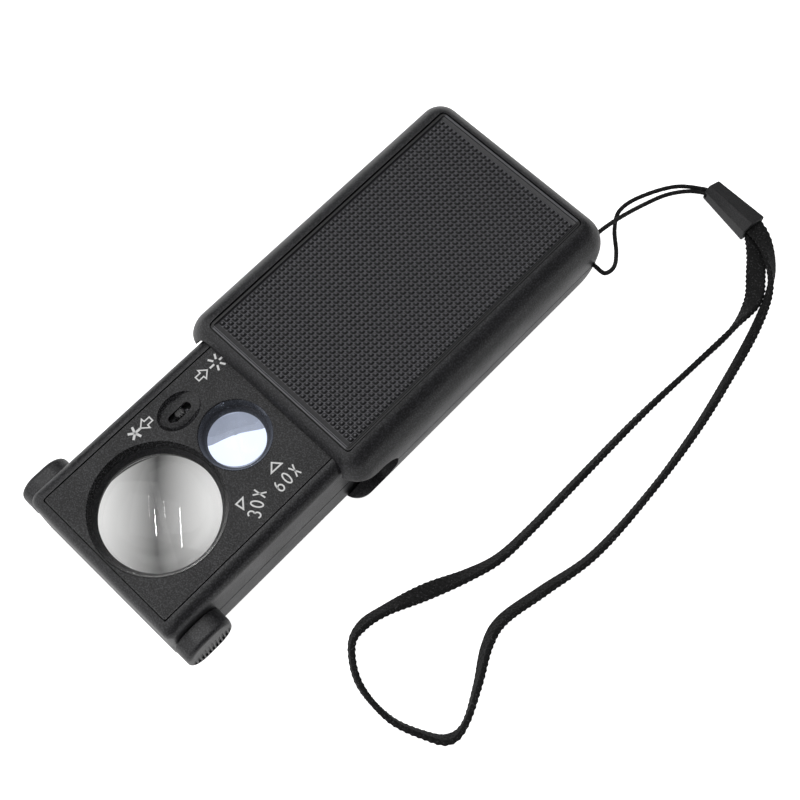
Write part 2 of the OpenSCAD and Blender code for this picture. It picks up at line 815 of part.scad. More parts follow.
// Four self-tapping screws that hold the drawer shells together
module drawer_screws() {
  color([0.7, 0.7, 0.72]) in_drawer()
    for (p = screw_places)
      translate([p[0], p[1], drawer_bottom + rest_gap])
        difference() {
          union() {
            cylinder(r = screw_head_r, h = screw_head_h);
            cylinder(r = screw_r, h = screw_l);
          }
          for (a = [0, 90])
            rotate([0, 0, a]) cube([1.7, 0.35, 0.7], center = true);
        }
}

// ---------------------------------------------------------------- lanyard

// Quarter turn of the cord round the corner post, from the side face to the back face
cord_turn = [
  for (a = [270:-15:180])
    [tunnel_x + tunnel_bend_r * cos(a), tunnel_y + tunnel_bend_r * sin(a), seam_z]
];
function strand_end(side) = [knot_x, knot_y + side * (cord_d / 2 + strand_gap), knot_z];
cord_path = concat(
  smooth_path(concat([strand_end(1)], reverse_of(cord_side_points), [cord_turn[0]]), cord_steps),
  [for (i = [1:len(cord_turn) - 2]) cord_turn[i]],
  smooth_path(concat([cord_turn[len(cord_turn) - 1]], cord_back_points, [strand_end(-1)]),
              cord_steps)
);
function reverse_of(list) = [for (i = [len(list) - 1:-1:0]) list[i]];

module lanyard_cord() {
  color([0.03, 0.03, 0.03]) {
    skin([for (i = [0:len(cord_path) - 1]) cord_ring(cord_path, i)]);
    rod(knot_x, knot_y, knot_r, knot_z - knot_h / 2, knot_z + knot_h / 2);
  }
}

// Cross-section of the connector, w wide, with its ridge at height h over eaves at height side
module connector_section(w, h, side) {
  rotate([90, 0, 90])
    linear_extrude(eps)
      polygon([[-w / 2 + connector_foot, 0], [w / 2 - connector_foot, 0],
               [w / 2, connector_foot], [w / 2, side],
               [connector_ridge_y + connector_ridge, h], [connector_ridge_y - connector_ridge, h],
               [-w / 2, side], [-w / 2, connector_foot]]);
}

// Roof-shaped end piece that joins the cord to both ends of the strap
module lanyard_connector() {
  reach = 2;
  flare = reach * tan(mouth_angle);
  color([0.05, 0.05, 0.06])
    translate([knot_x, knot_y, 0])
      rotate([0, 0, connector_turn])
        difference() {
          translate([-connector_nose, 0, connector_lift])
            hull() {
              connector_section(connector_w_front, connector_h_front, connector_eave_front);
              translate([connector_l - eps, 0, 0])
                connector_section(connector_w_back, connector_h_back, connector_eave_back);
            }
          rod(0, 0, knot_r + knot_gap, knot_z - knot_h / 2 - knot_gap,
              knot_z + knot_h / 2 + knot_gap);
          // Mouth that flares towards the side the cord comes from, so that it can swing
          translate([0, 0, knot_z])
            linear_extrude(cord_d + mouth_extra, center = true)
              polygon([[0, -mouth_half_w], [0, mouth_half_w], [-reach, mouth_half_w],
                       [-reach, -flare - mouth_half_w]]);
          translate([connector_l - connector_nose - strap_slot_l,
                     -strap_w / 2 - strap_slot_gap, strap_slot_low])
            cube([strap_slot_l + 1, strap_w + 2 * strap_slot_gap,
                  strap_slot_high - strap_slot_low]);
        }
}

module lanyard_strap() {
  path = smooth_path(strap_points, strap_steps);
  color([0.04, 0.04, 0.04])
    skin([for (i = [0:len(path) - 1]) strap_ring(path, i)]);
}

sleeve_top_shell();
sleeve_bottom_shell();
grip_panel_top();
grip_panel_bottom();
drawer_top_shell();
drawer_bottom_shell();
face_plate();
left_pull_grip();
right_pull_grip();
lens_carrier();
large_lens();
small_lens();
white_led();
uv_led();
circuit_board();
resistors();
switch_body();
switch_knob();
button_cells();
positive_contact();
negative_contact();
battery_door();
drawer_screws();
lanyard_cord();
lanyard_connector();
lanyard_strap();
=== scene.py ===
"""Looks of a pull-out currency detector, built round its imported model.

Lengths are millimetres until to_piece() turns a finished mesh into metres. X runs across, Y from
the sleeve's mouth to its back, Z up.
"""

import math

import bmesh
import bpy
from mathutils import Matrix, Vector


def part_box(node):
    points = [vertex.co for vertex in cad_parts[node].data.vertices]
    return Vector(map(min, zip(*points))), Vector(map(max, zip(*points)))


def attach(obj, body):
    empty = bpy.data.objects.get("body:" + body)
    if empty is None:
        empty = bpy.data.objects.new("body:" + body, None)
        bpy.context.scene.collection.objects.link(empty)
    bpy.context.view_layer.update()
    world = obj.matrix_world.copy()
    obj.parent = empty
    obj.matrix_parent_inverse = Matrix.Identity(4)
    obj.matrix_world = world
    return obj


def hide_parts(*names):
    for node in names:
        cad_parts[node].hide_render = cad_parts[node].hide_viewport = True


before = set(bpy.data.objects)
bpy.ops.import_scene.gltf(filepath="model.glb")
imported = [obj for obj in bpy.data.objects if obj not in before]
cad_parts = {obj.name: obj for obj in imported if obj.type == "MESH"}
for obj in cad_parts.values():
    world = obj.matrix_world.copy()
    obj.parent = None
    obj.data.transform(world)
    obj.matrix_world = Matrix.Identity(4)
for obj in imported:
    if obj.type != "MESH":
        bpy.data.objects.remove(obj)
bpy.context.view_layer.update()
MM = 0.001


def cad_box(node):
    """Lowest and highest corner of a CAD node, in millimetres."""
    low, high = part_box(node)
    return low / MM, high / MM


def centre(node):
    low, high = cad_box(node)
    return (low + high) / 2


# ------------------------------------------------------------------ sizes taken from the frame

SLEEVE_LOW, _ = cad_box("sleeve_bottom_shell")
_, SLEEVE_HIGH = cad_box("sleeve_top_shell")
SLEEVE_W = SLEEVE_HIGH.x - SLEEVE_LOW.x
SLEEVE_L = SLEEVE_HIGH.y - SLEEVE_LOW.y
SLEEVE_T = SLEEVE_HIGH.z
SEAM_Z = cad_box("sleeve_bottom_shell")[1].z
TOP_ROUND_W = 4.6
TOP_ROUND_H = 7.0
BOTTOM_DRAW = 2.2
CORNER_R = 4.2
CORNER_TIGHTEN = 0.72
PANEL_CORNER_R = 0.8
# At the widest level; the wall thins by BOTTOM_DRAW towards the bottom
BACK_WALL = 3.4

DRAWER_LOW, _ = cad_box("drawer_bottom_shell")
_, DRAWER_HIGH = cad_box("drawer_top_shell")
DRAWER_FRONT = DRAWER_LOW.y
DRAWER_L = DRAWER_HIGH.y - DRAWER_LOW.y
DRAWER_W = DRAWER_HIGH.x - DRAWER_LOW.x
DRAWER_TOP = DRAWER_HIGH.z
DRAWER_BOTTOM = DRAWER_LOW.z
DRAWER_SEAM = cad_box("drawer_bottom_shell")[1].z
DRAWER_ROUND = 2.4
DRAWER_DRAW = 0.45
DRAFT = 0.008
WALL = 1.4
FACE_T = 1.25
DECK_Z = DRAWER_TOP - 2 * FACE_T
CAVITY_GAP = 0.35
CAVITY_W = DRAWER_W + 2 * CAVITY_GAP
CAVITY_FLOOR = DRAWER_BOTTOM - CAVITY_GAP
CAVITY_ROOF = DRAWER_TOP + CAVITY_GAP

LARGE_LENS = centre("large_lens")
SMALL_LENS = centre("small_lens")
LARGE_VIEW_R = 9.75
SMALL_VIEW_R = 4.75
WELL_FLARE = 1.25
SWITCH = centre("switch_knob")
GRIP_LOW, GRIP_HIGH = cad_box("right_pull_grip")
GRIP_L = GRIP_HIGH.y - GRIP_LOW.y
GRIP_H = GRIP_HIGH.z - GRIP_LOW.z
GRIP_Y = (GRIP_LOW.y + GRIP_HIGH.y) / 2
GRIP_Z = (GRIP_LOW.z + GRIP_HIGH.z) / 2
GRIP_CORNER_R = 3.4

# ------------------------------------------------------------------ mesh helpers


def rounded_outline(w, l, r, cx=0.0, cy=0.0, steps=10):
    """Points of a rectangle with round corners, anticlockwise."""
    points = []
    for quarter, (sx, sy) in enumerate([(1, 1), (-1, 1), (-1, -1), (1, -1)]):
        for k in range(steps + 1):
            a = math.radians(90 * quarter + 90 * k / steps)
            points.append((cx + sx * (w / 2 - r) + r * math.cos(a), cy + sy * (l / 2 - r) + r * math.sin(a)))
    return points


def skin(rings, capped=True, closed=False):
    """Mesh over a row of rings that all have the same number of points."""
    bm = bmesh.new()
    rows = [[bm.verts.new(p) for p in ring] for ring in rings]
    count = len(rings[0])
    pairs = list(zip(rows, rows[1:]))
    if closed:
        pairs.append((rows[-1], rows[0]))
    for a, b in pairs:
        for k in range(count):
            bm.faces.new((a[k], a[(k + 1) % count], b[(k + 1) % count], b[k]))
    if capped and not closed:
        bm.faces.new(list(reversed(rows[0])))
        bm.faces.new(rows[-1])
    bmesh.ops.recalc_face_normals(bm, faces=bm.faces)
    return bm


def prism(outline, low, high):
    """Upright solid over an outline of (x, y) points."""
    return skin([[(x, y, z) for x, y in outline] for z in (low, high)])


def lathe(profile, cx, cy, steps=96):
    """Solid of revolution about a vertical axis, from (radius, z) points listed bottom to top."""
    rings = [[(cx + r * math.cos(2 * math.pi * k / steps), cy + r * math.sin(2 * math.pi * k / steps), z)
              for k in range(steps)] for r, z in profile]
    return skin(rings)


def box(low, high):
    (x0, y0, z0), (x1, y1, z1) = low, high
    return prism([(x0, y0), (x1, y0), (x1, y1), (x0, y1)], z0, z1)


def turn(bm, swap):
    """Re-maps every vertex, to lay an upright solid along another axis."""
    for v in bm.verts:
        v.co = Vector(swap(v.co))
    bmesh.ops.recalc_face_normals(bm, faces=bm.faces)
    return bm


def joined(*parts):
    """One mesh from several separate closed ones."""
    out = bmesh.new()
    for part in parts:
        shift = {v: out.verts.new(v.co) for v in part.verts}
        for f in part.faces:
            out.faces.new([shift[v] for v in f.verts])
        part.free()
    return out


def to_object(bm, name):
    mesh = bpy.data.meshes.new(name)
    bm.to_mesh(mesh)
    bm.free()
    obj = bpy.data.objects.new(name, mesh)
    bpy.context.scene.collection.objects.link(obj)
    return obj


def boolean(bm, tools, operation="DIFFERENCE"):
    """Cuts the tools out of a solid, or adds them to it, with exact booleans."""
    base = to_object(bm, "base")
    helpers = []
    for tool in tools:
        helper = to_object(tool, "tool")
        step = base.modifiers.new("cut", "BOOLEAN")
        step.operation = operation
        step.solver = "EXACT"
        step.object = helper
        helpers.append(helper)
    evaluated = base.evaluated_get(bpy.context.evaluated_depsgraph_get())
    out = bmesh.new()
    out.from_mesh(evaluated.to_mesh())
    evaluated.to_mesh_clear()
    for obj in [base] + helpers:
        mesh = obj.data
        bpy.data.objects.remove(obj)
        bpy.data.meshes.remove(mesh)
    bmesh.ops.remove_doubles(out, verts=out.verts, dist=0.002)
    bmesh.ops.dissolve_degenerate(out, edges=out.edges, dist=0.002)
    return out


def sharp_edges(bm, angle):
    bm.normal_update()
    limit = math.radians(angle)
    return [e for e in bm.edges if len(e.link_faces) == 2 and e.calc_face_angle(0) > limit]


def soften(bm, width, angle=40, segments=2, keep=None):
    """Rounds the sharp edges of a solid."""
    edges = [e for e in sharp_edges(bm, angle) if keep is None or keep(e)]
    bmesh.ops.bevel(bm, geom=edges, offset=width, segments=segments, profile=0.5, affect="EDGES",
                    clamp_overlap=True)
    return bm


def to_piece(bm, name, body, material, replaces=(), smooth_angle=38):
    """Finishes a mesh as a piece of the object that rides on a body."""
    bm.normal_update()
    for v in bm.verts:
        v.co *= MM
    limit = math.radians(smooth_angle)
    for f in bm.faces:
        f.smooth = True
    for e in bm.edges:
        if len(e.link_faces) == 2 and e.calc_face_angle(0) > limit:
            e.smooth = False
    obj = to_object(bm, name)
    obj.data.materials.append(material)
    normals = obj.modifiers.new("normals", "WEIGHTED_NORMAL")
    normals.keep_sharp = True
    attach(obj, body)
    if replaces:
        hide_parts(*replaces)
    return obj


# ------------------------------------------------------------------ materials


class Nodes:
    """Short-hand for building one node material."""

    def __init__(self, name):
        self.material = bpy.data.materials.new(name)
        self.material.use_nodes = True
        self.tree = self.material.node_tree
        self.shader = self.tree.nodes["Principled BSDF"]
        self.place = self.add("ShaderNodeTexCoord").outputs["Object"]

    def add(self, kind, **inputs):
        node = self.tree.nodes.new(kind)
        for key, value in inputs.items():
            self.put(node.inputs[key.replace("_", " ")], value)
        return node

    def put(self, socket, value):
        if isinstance(value, bpy.types.NodeSocket):
            self.tree.links.new(value, socket)
        else:
            socket.default_value = value

    def set(self, **inputs):
        for key, value in inputs.items():
            self.put(self.shader.inputs[key.replace("_", " ")], value)

    def noise(self, size_mm, detail=2.0, roughness=0.5):
        """Noise whose features are about size_mm across."""
        node = self.add("ShaderNodeTexNoise", Vector=self.place, Scale=1 / (size_mm * MM),
                        Detail=detail, Roughness=roughness)
        return node.outputs["Fac"]

    def cells(self, size_mm):
        node = self.add("ShaderNodeTexVoronoi", Vector=self.place, Scale=1 / (size_mm * MM))
        return node.outputs["Distance"]

    def span(self, value, low, high, start=0.0, end=1.0):
        """Maps value from start..end to low..high."""
        node = self.add("ShaderNodeMapRange", Value=value)
        node.inputs["From Min"].default_value = start
        node.inputs["From Max"].default_value = end
        node.inputs["To Min"].default_value = low
        node.inputs["To Max"].default_value = high
        return node.outputs["Result"]

    def mix(self, factor, a, b):
        node = self.add("ShaderNodeMix")
        node.data_type = "RGBA"
        self.put(node.inputs[0], factor)
        self.put(node.inputs[6], a)
        self.put(node.inputs[7], b)
        return node.outputs[2]

    def math(self, operation, a, b=0.0):
        node = self.add("ShaderNodeMath")
        node.operation = operation
        self.put(node.inputs[0], a)
        self.put(node.inputs[1], b)
        return node.outputs[0]

    def bump(self, height, depth_mm, strength=1.0):
        node = self.add("ShaderNodeBump", Height=height, Strength=strength, Distance=depth_mm * MM)
        self.set(Normal=node.outputs["Normal"])
        return node

    def edges(self, radius_mm=0.25):
        """1 on outer edges, 0 elsewhere."""
        soft = self.add("ShaderNodeBevel", Radius=radius_mm * MM)
        soft.samples = 4
        flat = self.add("ShaderNodeNewGeometry").outputs["Normal"]
        dot = self.add("ShaderNodeVectorMath")
        dot.operation = "DOT_PRODUCT"
        self.put(dot.inputs[0], soft.outputs["Normal"])
        self.put(dot.inputs[1], flat)
        return self.span(dot.outputs["Value"], 1.0, 0.0, 0.72, 0.98)


def grey(value, tint=0.0):
    return (value, value, value * (1 + tint), 1)


def moulded_black(name, tone, rough, grain_mm, grain_depth, speck, edge_highlight_amount=0.5, gloss_walls=False, crest_highlight=0.0):
    """Black moulded plastic: spark-eroded grain, uneven sheen, and outer edges painted lighter as a
    highlight.
    """
    n = Nodes(name)
    grain = n.math("ADD", n.noise(grain_mm, 3.0, 0.6), n.math("MULTIPLY", n.cells(grain_mm * 1.3), 0.6))
    clouds = n.noise(6.0, 2.0)
    # Painted highlight: outer edges are lightened, in noisy patches.
    painted_edge_highlight = n.math("MULTIPLY", n.edges(), n.span(n.noise(1.1, 3.0), 0.2, 1.0, 0.35, 0.65))
    base = n.mix(n.span(clouds, 0.0, 1.0, 0.3, 0.7), grey(tone, 0.12), grey(tone * 1.25, 0.14))
    specks = n.span(n.noise(grain_mm * 0.7, 2.0), 0.0, 1.0, 0.46, 0.66)
    base = n.mix(n.math("MULTIPLY", specks, speck), base, grey(tone + 0.12, 0.1))
    # Painted highlight: flat pyramid crests inside the field are painted lighter.
    if crest_highlight:
        level = n.add("ShaderNodeSeparateXYZ", Vector=n.add("ShaderNodeNewGeometry").outputs["True Normal"])
        flat = n.span(n.math("ABSOLUTE", level.outputs["Z"]), 0.0, 1.0, 0.98, 0.995)
        across = n.add("ShaderNodeSeparateXYZ", Vector=n.place).outputs["X"]
        inside = n.span(n.math("ABSOLUTE", across), 1.0, 0.0, 14.8 * MM, 15.0 * MM)
        base = n.mix(n.math("MULTIPLY", flat, inside), base, grey(crest_highlight, 0.1))
    n.set(Base_Color=n.mix(n.math("MULTIPLY", painted_edge_highlight, edge_highlight_amount), base, grey(tone * 3.2)))
    roughness = n.span(clouds, rough - 0.04, rough + 0.05, 0.3, 0.7)
    if gloss_walls:
        up = n.add("ShaderNodeSeparateXYZ", Vector=n.add("ShaderNodeNewGeometry").outputs["True Normal"])
        flat = n.span(up.outputs["Z"], 0.0, 1.0, 0.9, 0.97)
        n.set(Roughness=n.math("ADD", 0.22, n.math("MULTIPLY", flat, n.math("SUBTRACT", roughness, 0.22))))
        height = n.math("MULTIPLY", grain, flat)
    else:
        n.set(Roughness=roughness)
        height = grain
    n.bump(height, grain_depth)
    return n.material


def gloss_black(name, tone=0.012, rough=0.2):
    n = Nodes(name)
    smear = n.noise(2.5, 3.0)
    n.set(Base_Color=n.mix(smear, grey(tone, 0.05), grey(tone * 1.6, 0.08)),
          Roughness=n.span(smear, rough - 0.05, rough + 0.1, 0.3, 0.7))
    n.bump(n.noise(0.6, 2.0), 0.004)
    return n.material


def white_print():
    """Pad-printed white ink, a little uneven where it sits on the grain."""
    n = Nodes("white_print")
    patch = n.noise(0.35, 2.0)
    n.set(Base_Color=n.mix(patch, grey(0.72), grey(0.9)), Roughness=0.5)
    n.bump(patch, 0.01)
    return n.material


def lens_glass(name, tint, ior=1.49, glow=0.0):
    """Clear lens; glow is painted light, an emission that makes the lens look lit, varied a little by its
    haze.
    """
    n = Nodes(name)
    haze = n.noise(4.0, 2.0)
    n.set(Base_Color=tint, Roughness=n.span(haze, 0.0, 0.02, 0.4, 0.8), IOR=ior, Transmission_Weight=1.0,
          Emission_Color=tint, Emission_Strength=n.span(haze, glow * 0.9, glow * 1.1, 0.4, 0.8))
    return n.material


def metal(name, colour, rough, streak_mm=0.5):
    n = Nodes(name)
    streak = n.noise(streak_mm, 4.0, 0.6)
    n.set(Base_Color=n.mix(streak, colour, tuple(c * 0.75 for c in colour[:3]) + (1,)), Metallic=1.0,
          Roughness=n.span(streak, rough - 0.06, rough + 0.1, 0.3, 0.7))
    n.bump(streak, 0.003)
    return n.material


def resin(name, colour, glow):
    """Tinted resin of a light-emitting diode."""
    n = Nodes(name)
    n.set(Base_Color=n.mix(n.noise(0.8), colour, tuple(min(1.0, c * 1.1) for c in colour[:3]) + (1,)),
          Roughness=0.12, Transmission_Weight=0.5, Emission_Color=colour, Emission_Strength=glow)
    return n.material


def solder_mask():
    n = Nodes("solder_mask")
    patch = n.noise(1.2, 3.0)
    n.set(Base_Color=n.mix(patch, (0.01, 0.07, 0.025, 1), (0.02, 0.12, 0.045, 1)), Roughness=0.3)
    n.bump(n.cells(0.9), 0.01)
    return n.material


def woven_black(name, tone, thread_mm):
    """Black polyester yarn: dark fibres with lighter tufts where the threads cross."""
    n = Nodes(name)
    fibre = n.noise(thread_mm * 0.25, 3.0, 0.7)
    tuft = n.noise(thread_mm * 0.6, 1.0)
    dark = n.mix(n.span(fibre, 0.0, 1.0, 0.35, 0.7), grey(tone), grey(tone * 2.0, 0.05))
    n.set(Base_Color=n.mix(n.span(tuft, 0.0, 0.5, 0.58, 0.72), dark, grey(tone + 0.1, 0.05)),
          Roughness=n.span(tuft, 0.7, 0.85, 0.3, 0.7), Specular_IOR_Level=0.25)
    n.bump(fibre, thread_mm * 0.1)
    return n.material


# Each of these finishes lightens its outer edges as a painted highlight.
SHELL = moulded_black("shell_black", 0.008, 0.38, 0.34, 0.03, 0.3)
# The panel's flat pyramid crests are also painted lighter, as a highlight.
PANEL = moulded_black("panel_black", 0.005, 0.36, 0.20, 0.008, 0.1, edge_highlight_amount=0.9, crest_highlight=0.12)
FACE = moulded_black("face_black", 0.002, 0.5, 0.32, 0.07, 0.36, gloss_walls=True)
MATT = moulded_black("matt_black", 0.006, 0.55, 0.25, 0.02, 0.15)
GLOSS = gloss_black("gloss_black")
INK = white_print()
# Both lenses glow as painted light; the small one glows blue-white, painting a lit look.
LARGE_GLASS = lens_glass("lens_clear", (0.98, 0.98, 0.97, 1), glow=0.02)
SMALL_GLASS = lens_glass("lens_painted_glow", (0.76, 0.83, 1.0, 1), ior=1.3, glow=0.22)
STEEL = metal("zinc_steel", (0.62, 0.62, 0.64, 1), 0.32)
NICKEL = metal("nickel", (0.72, 0.71, 0.68, 1), 0.22)
BRASS = metal("spring_brass", (0.72, 0.55, 0.25, 1), 0.3)
CORD = woven_black("cord_black", 0.004, 0.5)
STRAP = woven_black("strap_black", 0.004, 0.5)


# ------------------------------------------------------------------ sleeve


def sleeve_inset(z):
    """How far the sleeve's outline stands inside its widest level."""
    waist = SLEEVE_T - TOP_ROUND_H
    rise = (z - waist) / TOP_ROUND_H
    fall = 1 - z / waist
    top = TOP_ROUND_W * (1 - math.sqrt(max(0.0, 1 - rise * rise))) if rise > 0 else 0.0
    low = BOTTOM_DRAW * fall * fall if fall > 0 else 0.0
    return top + low


def sleeve_ring(z, pinch=0.0):
    inset = sleeve_inset(z) + pinch
    r = max(PANEL_CORNER_R, CORNER_R - CORNER_TIGHTEN * inset)
    outline = rounded_outline(SLEEVE_W - 2 * inset, SLEEVE_L - 2 * inset, r, steps=14)
    return [(x, y, z) for x, y in outline]


SEAM_GAP = 0.05
SEAM_CHAMFER = 0.1
TOP_STEPS = 18
LOW_STEPS = 10


def sleeve_blank(top):
    """Solid outer form of one sleeve shell, with a fine chamfer at the seam."""
    waist = SLEEVE_T - TOP_ROUND_H
    if not top:
        edge = SEAM_Z - SEAM_GAP
        levels = [(edge - SEAM_CHAMFER) * k / LOW_STEPS for k in range(LOW_STEPS + 1)]
        rings = [sleeve_ring(levels[0], 0.25)] + [sleeve_ring(max(z, 0.25)) for z in levels[:1]]
        rings += [sleeve_ring(z) for z in levels[1:]]
        return skin(rings + [sleeve_ring(edge, SEAM_CHAMFER)])
    edge = SEAM_Z + SEAM_GAP
    rings = [sleeve_ring(edge, SEAM_CHAMFER), sleeve_ring(edge + SEAM_CHAMFER)]
    rings += [sleeve_ring(edge + (waist - edge) * k / 3) for k in (1, 2, 3)]
    for k in range(1, TOP_STEPS + 1):
        rings.append(sleeve_ring(waist + TOP_ROUND_H * math.sin(math.radians(90 * k / TOP_STEPS))))
    return skin(rings)


def cavity_cutter():
    """Room for the drawer, round along its upper edges like the drawer itself."""
    half = CAVITY_W / 2
    r = DRAWER_ROUND
    section = [(-half, CAVITY_FLOOR), (half, CAVITY_FLOOR), (half, CAVITY_ROOF - r)]
    section += [(half - r + r * math.cos(a), CAVITY_ROOF - r + r * math.sin(a))
                for a in [math.radians(90 * k / 8) for k in range(1, 9)]]
    section += [(-half + r - r * math.sin(a), CAVITY_ROOF - r + r * math.cos(a))
                for a in [math.radians(90 * k / 8) for k in range(0, 9)]]
    rings = [[(x, y, z) for x, z in section] for y in (SLEEVE_LOW.y - 2, SLEEVE_HIGH.y - BACK_WALL)]
    return skin(rings)


NOTCH_GAP = 0.3
NOTCH_FLARE = 1.4


def notch_cutter():
    """Slot across both sides of the mouth where the pull grips sink in."""
    back = SLEEVE_LOW.y + (GRIP_HIGH.y - DRAWER_FRONT) + NOTCH_GAP
    half = GRIP_H / 2 + NOTCH_GAP
    r = GRIP_CORNER_R + NOTCH_GAP
    front = SLEEVE_LOW.y - 1
    middle = (SLEEVE_LOW.y + back) / 2
    section = [(front, -half - NOTCH_FLARE), (middle, -half)]
    section += [(back - r + r * math.cos(a), -half + r + r * math.sin(a))
                for a in [math.radians(-90 + 90 * k / 12) for k in range(13)]]
    section += [(back - r + r * math.cos(a), half - r + r * math.sin(a))
                for a in [math.radians(90 * k / 12) for k in range(13)]]
    section += [(middle, half), (front, half + NOTCH_FLARE)]
    return skin([[(x, y, GRIP_Z + z) for y, z in section] for x in (-SLEEVE_W, SLEEVE_W)])


def tube(path, radius, sides=16, closed=False):
    """Round tube along a list of points."""
    rings = []
    for i, p in enumerate(path):
        ahead = Vector(path[min(i + 1, len(path) - 1)]) - Vector(path[max(i - 1, 0)])
        ahead.normalize()
        side = ahead.cross(Vector((0, 0, 1)))
        if side.length < 1e-6:
            side = Vector((1, 0, 0))
        side.normalize()
        up = side.cross(ahead)
        r = radius(i) if callable(radius) else [radius] * sides
        rings.append([Vector(p) + r[k] * (side * math.cos(2 * math.pi * k / sides)
                                          + up * math.sin(2 * math.pi * k / sides)) for k in range(sides)])
    return skin(rings, closed=closed)


TUNNEL_R = 0.7
TUNNEL_BEND = 4.2
TUNNEL_X = SLEEVE_HIGH.x + 0.6
TUNNEL_Y = SLEEVE_HIGH.y - 0.3


def corner_arc(steps):
    """Quarter turn round the corner post, from the side face to the back face."""
    angles = [math.radians(270 - 90 * k / steps) for k in range(steps + 1)]
    return [(TUNNEL_X + TUNNEL_BEND * math.cos(a), TUNNEL_Y + TUNNEL_BEND * math.sin(a), SEAM_Z)
            for a in angles]


def tunnel_cutter():
    arc = corner_arc(12)
    start = (TUNNEL_X + 2, arc[0][1], SEAM_Z)
    end = (arc[-1][0], TUNNEL_Y + 2, SEAM_Z)
    return tube([start] + arc + [end], TUNNEL_R)


def panel_cutter(top):
    low, high = cad_box("grip_panel_top" if top else "grip_panel_bottom")
    gap = 0.12
    outline = rounded_outline(high.x - low.x + 2 * gap, high.y - low.y + 2 * gap, PANEL_CORNER_R,
                              (low.x + high.x) / 2, (low.y + high.y) / 2, steps=6)
    return prism(outline, low.z, SLEEVE_T + 1) if top else prism(outline, -1, high.z)


def build_sleeve():
    for top in (True, False):
        cutters = [cavity_cutter(), notch_cutter(), tunnel_cutter(), panel_cutter(top)]
        shell = boolean(sleeve_blank(top), cutters)
        soften(shell, 0.22, angle=50)
        name = "sleeve_top_shell" if top else "sleeve_bottom_shell"
        to_piece(shell, "cover_upper" if top else "cover_lower", "sleeve", SHELL, [name])


GRID_PITCH = 0.96
GRID_COLUMNS = 31
GRID_ROWS = 55
PYRAMID_H = 0.34
GROOVE_W = 0.09
CREST_W = 0.3


def pyramid_field(cx, cy, floor, crest):
    """Square grid of blunt pyramids standing between narrow grooves, as one open sheet."""
    bm = bmesh.new()
    x0 = cx - GRID_COLUMNS * GRID_PITCH / 2
    y0 = cy - GRID_ROWS * GRID_PITCH / 2
    foot = GROOVE_W / 2
    tip = (GRID_PITCH - CREST_W) / 2
    stations = [(0.0, 0), (foot, 0), (tip, 1), (GRID_PITCH - tip, 1), (GRID_PITCH - foot, 0)]

    def line(count, start):
        out = [(start + i * GRID_PITCH + offset, level) for i in range(count) for offset, level in stations]
        return out + [(start + count * GRID_PITCH, 0)]

    xs = line(GRID_COLUMNS, x0)
    ys = line(GRID_ROWS, y0)
    grid = [[bm.verts.new((x, y, crest if lx and ly else floor)) for x, lx in xs] for y, ly in ys]
    for j in range(len(ys) - 1):
        for i in range(len(xs) - 1):
            bm.faces.new((grid[j][i], grid[j][i + 1], grid[j + 1][i + 1], grid[j + 1][i]))
    return bm, grid


def build_panel(top):
    """Textured grip panel: a plate with a bead round its border and the pyramid field inside it."""
    node = "grip_panel_top" if top else "grip_panel_bottom"
    low, high = cad_box(node)
    cx, cy = (low.x + high.x) / 2, (low.y + high.y) / 2
    crest = high.z
    floor = crest - PYRAMID_H
    bm, grid = pyramid_field(cx, cy, floor, crest)
    half_x, half_y = (high.x - low.x) / 2, (high.y - low.y) / 2
    rim = []
    rim += grid[0][:-1]
    rim += [row[-1] for row in grid[:-1]]
    rim += list(reversed(grid[-1]))[:-1]
    rim += [row[0] for row in reversed(grid)][:-1]

    def stretched(vert, inset, z):
        """The rim point carried out to the panel's edge, less an inset."""
        fx = GRID_COLUMNS * GRID_PITCH / 2
        fy = GRID_ROWS * GRID_PITCH / 2
        x = (vert.co.x - cx) / fx * (half_x - inset)
        y = (vert.co.y - cy) / fy * (half_y - inset)
        r = max(0.05, PANEL_CORNER_R - inset)
        ax, ay = abs(x) - (half_x - inset - r), abs(y) - (half_y - inset - r)
        if ax > 0 and ay > 0:
            reach = math.hypot(ax, ay)
            x = math.copysign(half_x - inset - r + ax / reach * r, x)
            y = math.copysign(half_y - inset - r + ay / reach * r, y)
        return bm.verts.new((cx + x, cy + y, z))

    border = crest - 0.2
    bead = crest - 0.03
    for inset, z in [(0.62, border), (0.56, bead), (0.42, bead), (0.36, border), (0.1, border),
                     (0.0, border - 0.1), (0.0, low.z)]:
        ring = [stretched(v, inset, z) for v in (rim if inset == 0.62 else source)]
        for k in range(len(ring)):
            a, b = (rim if inset == 0.62 else previous), ring
            bm.faces.new((a[k], b[k], b[(k + 1) % len(ring)], a[(k + 1) % len(ring)]))
        source, previous = rim, ring
    bm.faces.new(previous)
    bmesh.ops.recalc_face_normals(bm, faces=bm.faces)
    if not top:
        turn(bm, lambda p: (p.x, p.y, low.z + high.z - p.z))
    name = "panel_upper" if top else "panel_lower"
    to_piece(bm, name, "sleeve", PANEL, [node], smooth_angle=25)


# ------------------------------------------------------------------ drawer


def drawer_inset(z):
    rise = (z - (DRAWER_TOP - DRAWER_ROUND)) / DRAWER_ROUND
    fall = 1 - (z - DRAWER_BOTTOM) / 3
    out = DRAFT * abs(z - DRAWER_SEAM)
    if rise > 0:
        out += DRAWER_ROUND * (1 - DRAFT) * (1 - math.sqrt(max(0.0, 1 - rise * rise)))
    if fall > 0:
        out += DRAWER_DRAW * fall * fall
    return out


DRAWER_CORNER_R = 1.6


def drawer_ring(z, pinch=0.0):
    inset = drawer_inset(z) + pinch
    outline = rounded_outline(DRAWER_W - 2 * inset, DRAWER_L - 2 * inset, DRAWER_CORNER_R,
                              0, DRAWER_FRONT + DRAWER_L / 2)
    return [(x, y, z) for x, y in outline]


